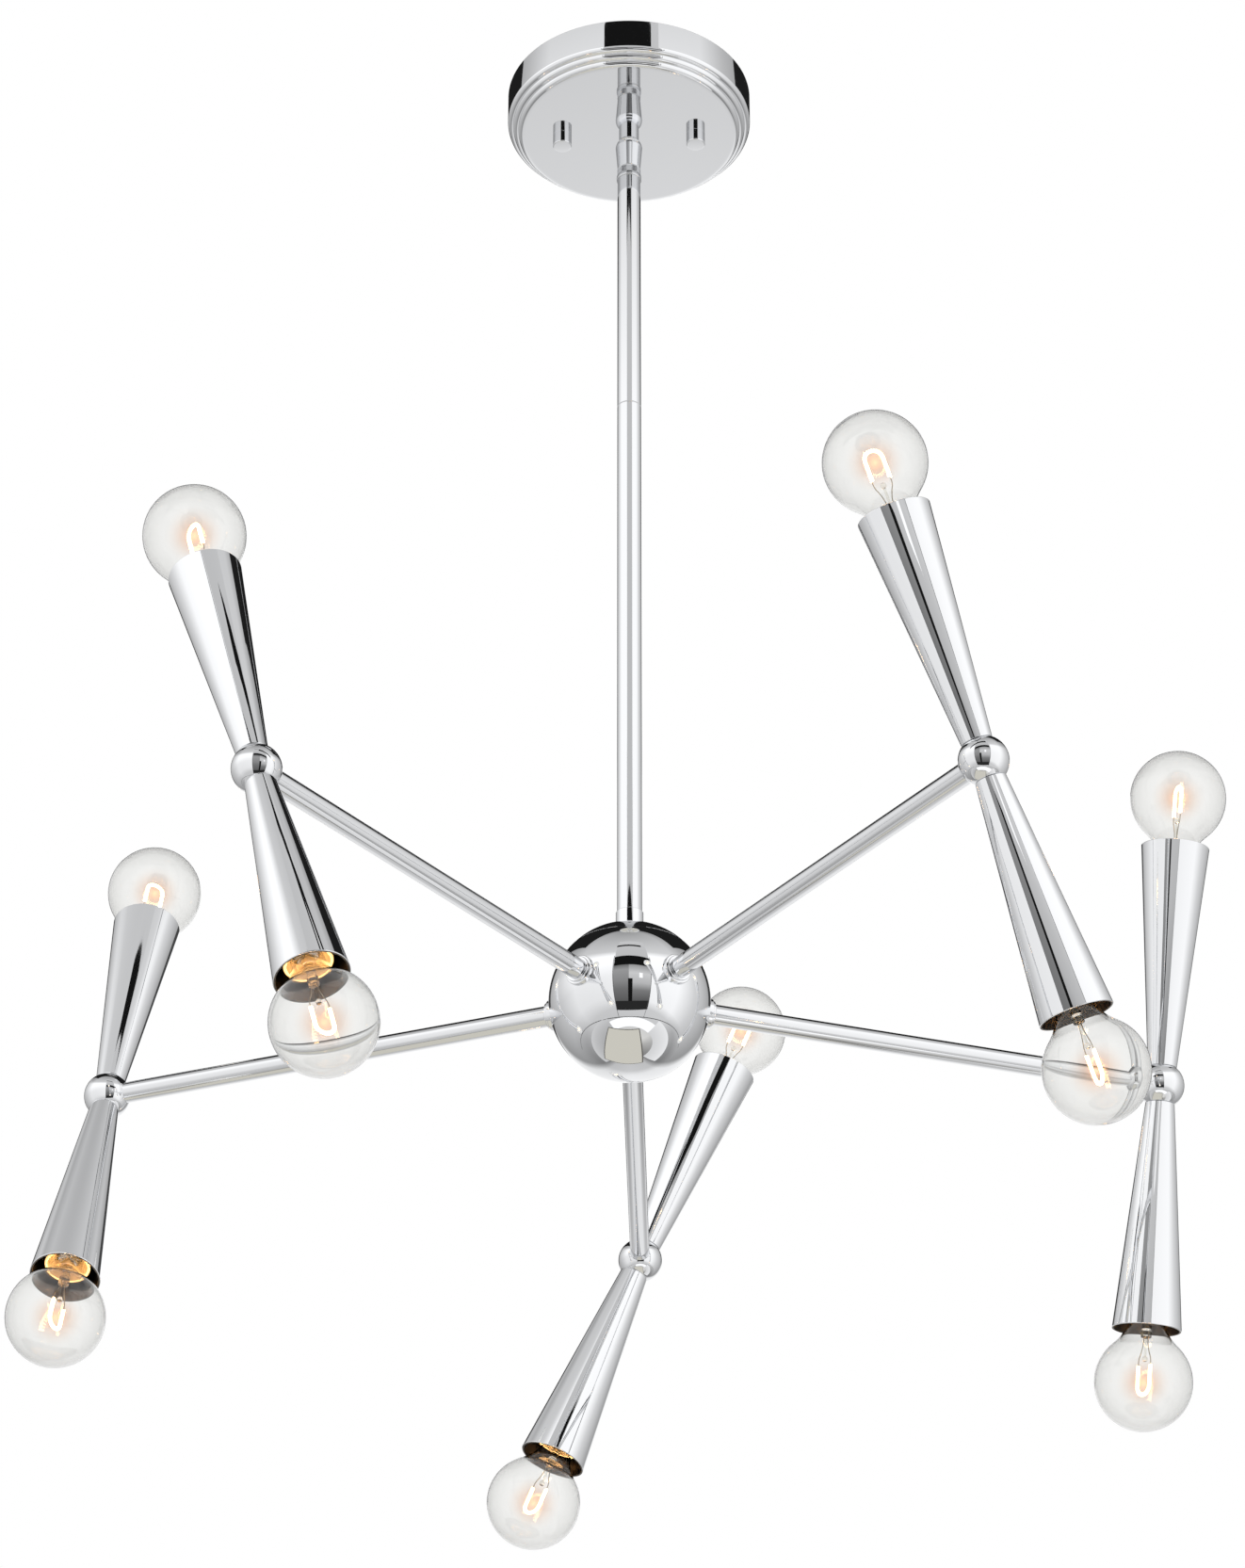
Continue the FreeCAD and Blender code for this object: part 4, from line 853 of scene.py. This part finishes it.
# %% Draw the leads and wind the filament
def wire_mesh(lines, radius, order=3):
    """A mesh of round wires in mm along smooth lines of points."""
    curve = bpy.data.curves.new("wire", "CURVE")
    curve.dimensions = "3D"
    curve.bevel_depth = radius * MM
    curve.bevel_resolution = 2
    curve.use_fill_caps = True
    for line in lines:
        spline = curve.splines.new("NURBS")
        spline.points.add(len(line) - 1)
        for point, place in zip(spline.points, line):
            point.co = (*(Vector(place) * MM), 1.0)
        spline.use_endpoint_u = True
        spline.order_u = order
    holder = bpy.data.objects.new("wire", curve)
    bpy.context.scene.collection.objects.link(holder)
    bpy.context.view_layer.update()
    mesh = bpy.data.meshes.new_from_object(holder.evaluated_get(bpy.context.evaluated_depsgraph_get()))
    bpy.data.objects.remove(holder)
    own = mesh.attributes.new("turning", "FLOAT_VECTOR", "POINT")
    for k, vertex in enumerate(mesh.vertices):
        own.data[k].vector = vertex.co
    return mesh


LOOP_HALF = 4.4
LOOP_FOOT = 137.0
LOOP_TOP = 151.2
COIL_R = 0.75
COIL_PITCH = 1.0


def loop_point(length):
    """A point and its direction on the upturned U, by the length from its left foot."""
    bend = LOOP_HALF - 0.2
    leg = LOOP_TOP - bend - LOOP_FOOT
    arch = math.pi * bend
    if length < leg:
        return Vector((-bend, 0, LOOP_FOOT + length)), Vector((0, 0, 1))
    if length > leg + arch:
        return Vector((bend, 0, LOOP_FOOT + leg - (length - leg - arch))), Vector((0, 0, -1))
    turn = (length - leg) / bend
    return (Vector((-bend * math.cos(turn), 0, LOOP_FOOT + leg + bend * math.sin(turn))),
            Vector((math.sin(turn), 0, math.cos(turn))))


LOOP_LENGTH = 2 * (LOOP_TOP - LOOP_HALF + 0.2 - LOOP_FOOT) + math.pi * (LOOP_HALF - 0.2)
coil_line = []
PER_TURN = 7
for k in range(int(LOOP_LENGTH / COIL_PITCH * PER_TURN) + 1):
    centre, ahead = loop_point(k * COIL_PITCH / PER_TURN)
    turn = 2 * math.pi * k / PER_TURN
    across = ahead.cross(Vector((0, 1, 0)))
    coil_line.append(centre + (across * math.cos(turn) + Vector((0, 1, 0)) * math.sin(turn)) * COIL_R)
filament = wire_mesh([coil_line], 0.22)
leads = wire_mesh([[(side * 1.4, 0, PRESS_TOP - 3.4), (side * 1.4, 0, PRESS_TOP + 1), (side * 2.6, 0, 130.5),
                    (side * 4.6, 0, 134.5), (side * 4.2, 0, LOOP_FOOT + 0.6)] for side in (-1, 1)], 0.24)
print("filament line", round(LOOP_LENGTH, 1), "mm,", len(filament.polygons), "faces; leads", len(leads.polygons))

# %% [markdown]
# ## Ten lamps on five heads
#
# The upper and the lower half of a head are the same pieces, turned over about the arm. Each lamp was screwed home
# by hand, so its filament faces its own way.

# %% Put the heads together
FILAMENT_TURNS = {(1, "upper"): 60, (1, "lower"): 20, (2, "upper"): 90, (2, "lower"): 70, (3, "upper"): 80,
                  (3, "lower"): 120, (4, "upper"): 50, (4, "lower"): 100, (5, "upper"): 75, (5, "lower"): 30}
lamp_places = {}
for arm in ARMS:
    body = f"arm_{arm}"
    piece(f"arm_{arm}_knuckle", knuckle, wheel_polished_chrome, body, [f"arm_{arm}_ball"], heads[arm])
    for word, flip in (("upper", 0), ("lower", 180)):
        place = heads[arm] @ Matrix.Rotation(math.radians(flip), 4, "X")
        lamp = place @ Matrix.Rotation(math.radians(FILAMENT_TURNS[arm, word]), 4, "Z")
        lamp_places[arm, word] = lamp
        sockets = [f"arm_{arm}_sockets"]
        lamps = [f"arm_{arm}_lamps"]
        piece(f"arm_{arm}_cone_{word}", cone, [wheel_polished_chrome, cone_inside_dull_with_painted_shade], body,
              [f"arm_{arm}_cup_{word}"], place)
        piece(f"arm_{arm}_socket_{word}", socket, socket_moulding, body, sockets, place)
        piece(f"arm_{arm}_screw_shell_{word}", shell, screw_shell_brass, body, sockets, place)
        piece(f"arm_{arm}_screw_cap_{word}", cap, rolled_cap_brass, body, lamps, place)
        piece(f"arm_{arm}_glass_mount_{word}", mount, pressed_mount_glass, body, lamps, lamp)
        piece(f"arm_{arm}_leads_{word}", leads, nickel_lead, body, lamps, lamp)
        glowing = piece(f"arm_{arm}_filament_{word}", filament, tungsten, body, lamps, lamp)
        glowing.visible_diffuse = False
        glowing.visible_shadow = False
        envelope = piece(f"arm_{arm}_globe_{word}", globe, clear_bulb_glass, body, lamps, lamp)
        envelope.visible_shadow = False
print("pieces so far:", len(pieces_made))

# %% [markdown]
# ## Glow of the lamps
#
# A hot filament lights its own socket, and round it the eye and the lens see a soft warm glow. The light comes from
# a small warm point lamp in each globe. The glow is a small ball of thin haze that takes a little blue out of the
# white behind it and adds light near the coil. It is part of the studio, not of the object, but it rides along.

# %% Light each lamp from inside
WARM = "#FFC98A"
GLOW_R = 15.0


def haze(name):
    """A haze that thins out from its middle: it takes some blue away, and glows at the middle."""
    material, tree, output = new_material(name)
    place = add(tree, "ShaderNodeTexCoord").outputs["Object"]
    soft = add(tree, "ShaderNodeTexGradient", {"Vector": place}, gradient_type="QUADRATIC_SPHERE")
    thick = add(tree, "ShaderNodeMath", {0: soft.outputs["Fac"], 1: 150.0}, operation="MULTIPLY")
    core = add(tree, "ShaderNodeMath", {0: soft.outputs["Fac"], 1: 4.0}, operation="POWER")
    bright = add(tree, "ShaderNodeMath", {0: core.outputs["Value"], 1: 260.0}, operation="MULTIPLY")
    veil = add(tree, "ShaderNodeVolumeAbsorption", {"Color": linear("#F0C9A8"), "Density": thick.outputs["Value"]})
    glow = add(tree, "ShaderNodeEmission", {"Color": linear("#FFD9A8"), "Strength": bright.outputs["Value"]})
    both = add(tree, "ShaderNodeAddShader", {0: veil.outputs["Volume"], 1: glow.outputs["Emission"]})
    tree.links.new(both.outputs["Shader"], output.inputs["Volume"])
    return material


warm_haze = haze("warm_haze")
ball_of_haze = turned(bow((0, 0), 1000, 0, 180, 16), steps=32)
ball_of_haze.materials.append(warm_haze)
for (arm, word), place in lamp_places.items():
    middle = place @ Vector((0, 0, 145.5 * MM))
    light = bpy.data.lights.new(f"lamp_light_{arm}_{word}", "POINT")
    light.energy = 0.22
    light.color = linear(WARM)[:3]
    light.shadow_soft_size = 6 * MM
    holder = bpy.data.objects.new(light.name, light)
    holder.location = middle
    bpy.context.scene.collection.objects.link(holder)
    for ray in ("camera", "glossy", "transmission"):
        setattr(holder, "visible_" + ray, False)
    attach(holder, f"arm_{arm}")
    glow = bpy.data.objects.new(f"lamp_glow_{arm}_{word}", ball_of_haze)
    glow.matrix_world = Matrix.Translation(middle) @ Matrix.Scale(GLOW_R * MM, 4)
    bpy.context.scene.collection.objects.link(glow)
    glow.visible_shadow = False
    glow.visible_diffuse = False
    glow.visible_glossy = False
    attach(glow, f"arm_{arm}")
print("lamp lights:", len(lamp_places))

# %% [markdown]
# ## Studio
#
# Chrome has hardly any colour of its own, so what one sees in it is the studio. A wide dome of greys stands round
# the object: it is pale, darker low down and overhead, and darker again towards both sides behind the object, which
# gives a turned piece its grey limbs. Two narrow dark wings there draw the fine line at its edge. A large window
# stands behind the camera: its dark borders, grey panes and middle bar make the crisp stripes. There is a pale
# wall above it, with a dark flag for the canopy, another small flag, a dark flag over the back, and a floor with
# a dark line where it meets the walls and a cream square. These cards are seen only in reflections, and were
# placed against the photograph. Places are in metres from the hub's centre.

# %% Cards that only polished surfaces see
PLATING = 0.9


def shade_ramp(tree, place, stops):
    """A colour ramp along a card, from (position, colour) stops."""
    ramp = add(tree, "ShaderNodeValToRGB", {"Fac": place})
    marks = ramp.color_ramp.elements
    while len(marks) < len(stops):
        marks.new(0.5)
    for mark, (position, colour) in zip(marks, stops):
        mark.position = position
    for mark, (position, colour) in zip(marks, stops):
        mark.color = linear(colour)
    return ramp.outputs["Color"]


def card_shade(name, stops, right_stops=None, round_stops=None):
    """An emitter shaded up the card, from left to right where the right side has its own stops, and round it."""
    material, tree, output = new_material(name)
    place = add(tree, "ShaderNodeAttribute", attribute_name="along").outputs["Vector"]
    place = add(tree, "ShaderNodeSeparateXYZ", {"Vector": place})
    left = shade_ramp(tree, place.outputs["Y"], stops)
    right = shade_ramp(tree, place.outputs["Y"], right_stops or stops)
    both = add(tree, "ShaderNodeMix", {0: place.outputs["X"], 6: left, 7: right}, data_type="RGBA")
    if round_stops:
        dimmed = shade_ramp(tree, place.outputs["Z"], round_stops)
        both = add(tree, "ShaderNodeMix", {0: 1.0, 6: both.outputs[2], 7: dimmed}, data_type="RGBA",
                   blend_type="MULTIPLY")
    light = add(tree, "ShaderNodeEmission", {"Color": both.outputs[2], "Strength": 1 / PLATING})
    tree.links.new(light.outputs["Emission"], output.inputs["Surface"])
    material.cycles.emission_sampling = "NONE"
    return material


def card(name, rows, stops, right_stops=None, round_stops=None):
    """A card of rows of points from its foot to its top, shaded along that way by its stops."""
    mesh = bpy.data.meshes.new(name)
    wide = len(rows[0])
    points = [tuple(hub + Vector(point)) for row in rows for point in row]
    faces = [(r * wide + c, r * wide + c + 1, (r + 1) * wide + c + 1, (r + 1) * wide + c)
             for r in range(len(rows) - 1) for c in range(wide - 1)]
    mesh.from_pydata(points, [], faces)
    along = mesh.attributes.new("along", "FLOAT_VECTOR", "POINT")
    for k, point in enumerate(points):
        turn = math.atan2(point[0] - hub.x, hub.y - point[1])
        along.data[k].vector = (0.5 + 0.5 * math.sin(turn), (k // wide) / (len(rows) - 1), (k % wide) / (wide - 1))
    mesh.materials.append(card_shade(name, stops, right_stops, round_stops))
    made = bpy.data.objects.new(name, mesh)
    bpy.context.scene.collection.objects.link(made)
    for ray in ("camera", "diffuse", "transmission", "volume_scatter", "shadow"):
        setattr(made, "visible_" + ray, False)
    return made


def upright(name, left, right, low, high, stops, y=-0.70, rows=12):
    """An upright card between two slanting sides, each given as x at low and x at high."""
    made = []
    for k in range(rows + 1):
        share = k / rows
        z = low + (high - low) * share
        made.append([(left[0] + (left[1] - left[0]) * share, y, z), (right[0] + (right[1] - right[0]) * share, y, z)])
    return card(name, made, stops)


def sector(name, centre, radii, turns, z, stops, steps=48):
    """A level card: a ring's sector, from its inner to its outer radius, turns in degrees from the camera's side."""
    rows = []
    for radius in radii:
        rows.append([(centre[0] + radius * math.sin(math.radians(turns[0] + (turns[1] - turns[0]) * k / steps)),
                      centre[1] - radius * math.cos(math.radians(turns[0] + (turns[1] - turns[0]) * k / steps)), z)
                     for k in range(steps + 1)])
    return card(name, rows, stops)


def level(name, left, right, near, far, z, stops):
    """A level rectangle."""
    return card(name, [[(left, near, z), (right, near, z)], [(left, far, z), (right, far, z)]], stops)


def plain(colour):
    """The stops of a card in one shade."""
    return [(0.0, colour), (1.0, colour)]


BLACK = plain("#141414")
NEAR_BLACK = plain("#282828")
WHITE = plain("#FFFFFF")
EDGE_GREY = plain("#505050")
BAR_Y = -0.695
upright("window_left_pane", (-0.275, -0.261), (0.0, 0.0), -0.37, 0.31,
        [(0.0, "#585858"), (0.35, "#6E6E6E"), (0.55, "#868686"), (0.85, "#969696"), (1.0, "#646464")])
upright("window_right_pane", (0.0, 0.0), (0.42, 0.388), -0.37, 0.31,
        [(0.0, "#565656"), (0.3, "#787878"), (0.5, "#B4B4B4"), (0.75, "#C8C8C8"), (1.0, "#909090")])
upright("window_bar", (-0.012, -0.012), (0.06, 0.06), -0.37, 0.04, BLACK, y=BAR_Y)
upright("window_head", (-0.261, -0.255), (0.388, 0.375), 0.31, 0.44, BLACK)
upright("window_sill", (-0.28, -0.275), (0.43, 0.42), -0.60, -0.37, NEAR_BLACK)
upright("window_softbox", (0.17, 0.17), (0.23, 0.23), 0.06, 0.15, WHITE, y=BAR_Y)
upright("wall_above", (-0.255, -0.255), (0.375, 0.375), 0.44, 1.50, [(0.0, "#BABABA"), (1.0, "#C4C4C4")])
upright("canopy_flag", (-0.27, -0.27), (0.27, 0.27), 1.005, 1.12, BLACK, y=BAR_Y)
upright("left_edge", (-0.276, -0.276), (-0.264, -0.264), -0.9, 0.6, EDGE_GREY, y=-0.698)
upright("right_edge", (0.394, 0.394), (0.406, 0.406), -0.9, 0.6, EDGE_GREY, y=-0.698)

DOME_R = 4.0
WING_R = 3.2
dome = [[(DOME_R * math.cos(math.radians(tilt)) * math.sin(math.radians(turn)),
          -DOME_R * math.cos(math.radians(tilt)) * math.cos(math.radians(turn)), DOME_R * math.sin(math.radians(tilt)))
         for turn in range(-180, 181, 5)] for tilt in range(-90, 91, 5)]
card("room_dome", dome,
     [(0.0, "#D8D6D0"), (0.22, "#BEBEBE"), (0.30, "#C4C4C4"), (0.40, "#E0E0E0"), (0.55, "#E8E8E8"), (0.65, "#FFFFFF"),
      (0.72, "#FFFFFF"), (0.76, "#C8C8C8"), (1.0, "#8C8C8C")],
     [(0.0, "#DCDAD4"), (0.22, "#C8C8C8"), (0.30, "#CACACA"), (0.36, "#F4F4F4"), (0.72, "#FFFFFF"), (0.76, "#D0D0D0"),
      (1.0, "#969696")],
     [(0.0, "#FFFFFF"), (0.055, "#F4F4F4"), (0.08, "#A0A0A0"), (0.12, "#B4B4B4"), (0.20, "#D8D8D8"), (0.28, "#FFFFFF"),
      (0.70, "#FFFFFF"), (0.78, "#D4D4D4"), (0.89, "#A8A8A8"), (0.92, "#9C9C9C"), (0.945, "#F4F4F4"), (1.0, "#FFFFFF")])
for word, turn in (("left", -1), ("right", 1)):
    arc = [(WING_R * math.sin(math.radians(turn * a)), -WING_R * math.cos(math.radians(turn * a)))
           for a in range(147, 168, 2)]
    card(f"dark_wing_{word}", [[(x, y, z) for x, y in arc] for z in (1.0, 3.4)], [(0.0, "#484848"), (1.0, "#2C2C2C")])

FLOOR_DROP = 1.2
sector("floor_line", (0, 0.86 * FLOOR_DROP), (1.685 * FLOOR_DROP, 1.715 * FLOOR_DROP), (-110, 110), -FLOOR_DROP,
       plain("#3A3A3A"))
sector("left_floor", (0, 0), (0.62, 1.3), (-150, -45), -FLOOR_DROP, [(0.0, "#A8A8A8"), (1.0, "#C8C8C8")])
sector("right_floor", (0, 0), (0.62, 1.3), (62, 150), -FLOOR_DROP, [(0.0, "#D0D0D0"), (1.0, "#E8E8E8")])
sector("front_floor", (0, 0), (0.60, 1.0), (-45, 62), -FLOOR_DROP, WHITE)

level("cream_floor", -0.65, 0.28, -0.46, 0.87, 0.01 - FLOOR_DROP, plain("#C8C5BA"))
level("cream_floor_edge", -0.68, 0.31, -0.49, 0.90, 0.005 - FLOOR_DROP, plain("#5C5A56"))
upright("swivel_flag", (-0.125, -0.125), (0.19, 0.19), 0.20, 0.262, BLACK, y=-0.35)
level("ceiling_flag", -1.05, 1.05, 0.05, 2.2, 1.5, plain("#1C1C1C"))

# %% [markdown]
# ## World, floor and soft lights
#
# The room is white. Its floor is six metres below the ceiling, so the shadow of the chandelier on it is wide and
# soft. Two large area lights give matt pieces a soft form. They are hidden from polished surfaces, which already
# have their cards.

# %% White room, pale floor, soft lights
world = bpy.data.worlds.new("white_room")
bpy.context.scene.world = world
world.use_nodes = True
tree = world.node_tree
tree.nodes.clear()
path = add(tree, "ShaderNodeLightPath")
seen = add(tree, "ShaderNodeMath", {0: path.outputs["Is Camera Ray"], 1: path.outputs["Is Glossy Ray"]},
           operation="MAXIMUM")
seen = add(tree, "ShaderNodeMath", {0: seen.outputs["Value"], 1: path.outputs["Is Transmission Ray"]},
           operation="MAXIMUM")
strength = add(tree, "ShaderNodeMapRange", {"Value": seen.outputs["Value"], "To Min": 0.75, "To Max": 1.0})
sky = add(tree, "ShaderNodeBackground", {"Color": linear("#FFFFFF"), "Strength": strength.outputs["Result"]})
add(tree, "ShaderNodeOutputWorld", {"Surface": sky.outputs["Background"]})

floor_paint, tree, output = new_material("pale_floor_paint")
place = add(tree, "ShaderNodeTexCoord").outputs["Object"]
cloud = add(tree, "ShaderNodeTexNoise", {"Vector": place, "Scale": per_mm(400)})
tone = add(tree, "ShaderNodeMix", {0: cloud.outputs["Fac"], 6: linear("#FBFBFA"), 7: linear("#F8F8F6")},
           data_type="RGBA")
paint = add(tree, "ShaderNodeBsdfDiffuse", {"Color": tone.outputs[2]})
tree.links.new(paint.outputs["BSDF"], output.inputs["Surface"])
FLOOR_Z = -6.0
floor_mesh = turned([(0, 0), (3000, 0), (9000, 0)], steps=64)
floor_mesh.materials.append(floor_paint)
floor = bpy.data.objects.new("studio_floor", floor_mesh)
floor.location.z = FLOOR_Z
floor.visible_glossy = False
floor.visible_transmission = False
bpy.context.scene.collection.objects.link(floor)

for name, place, size, energy in (("key_softbox", (-1.6, -1.8, 0.6), 1.4, 22),
                                  ("fill_softbox", (1.9, -1.2, -0.2), 1.2, 9),
                                  ("top_softbox", (0.2, 0.6, 1.4), 1.6, 12)):
    light = bpy.data.lights.new(name, "AREA")
    light.energy = energy
    light.size = size
    holder = bpy.data.objects.new(name, light)
    holder.location = hub + Vector(place)
    holder.rotation_euler = (-Vector(place)).to_track_quat("-Z", "Y").to_euler()
    holder.visible_glossy = False
    holder.visible_transmission = False
    bpy.context.scene.collection.objects.link(holder)
print("lights:", [light.name for light in bpy.data.lights if light.type == "AREA"])

# %% [markdown]
# ## Camera
#
# The photograph was taken from below. The camera's place, angle and lens were solved together with the object's own
# sizes, from the circles of the globes, the small balls and the hub and from the ellipse of the canopy's plate. Its
# distance rests on the scale, and so on globes that were taken to be 47 mm across.

# %% The photograph's camera
CAMERA_TILT = 121.55
CAMERA_TURN = 1.22
lens = bpy.data.cameras.new("photo_camera")
lens.lens = 116.0
lens.sensor_width = 36.0
camera = bpy.data.objects.new("photo_camera", lens)
camera.location = (0.0409, -2.0794, -1.7006)
camera.rotation_euler = (math.radians(CAMERA_TILT), 0, math.radians(CAMERA_TURN))
bpy.context.scene.collection.objects.link(camera)
bpy.context.scene.camera = camera
bpy.context.scene.view_settings.view_transform = "Standard"
print("camera looks up by", round(CAMERA_TILT - 90, 2), "degrees")
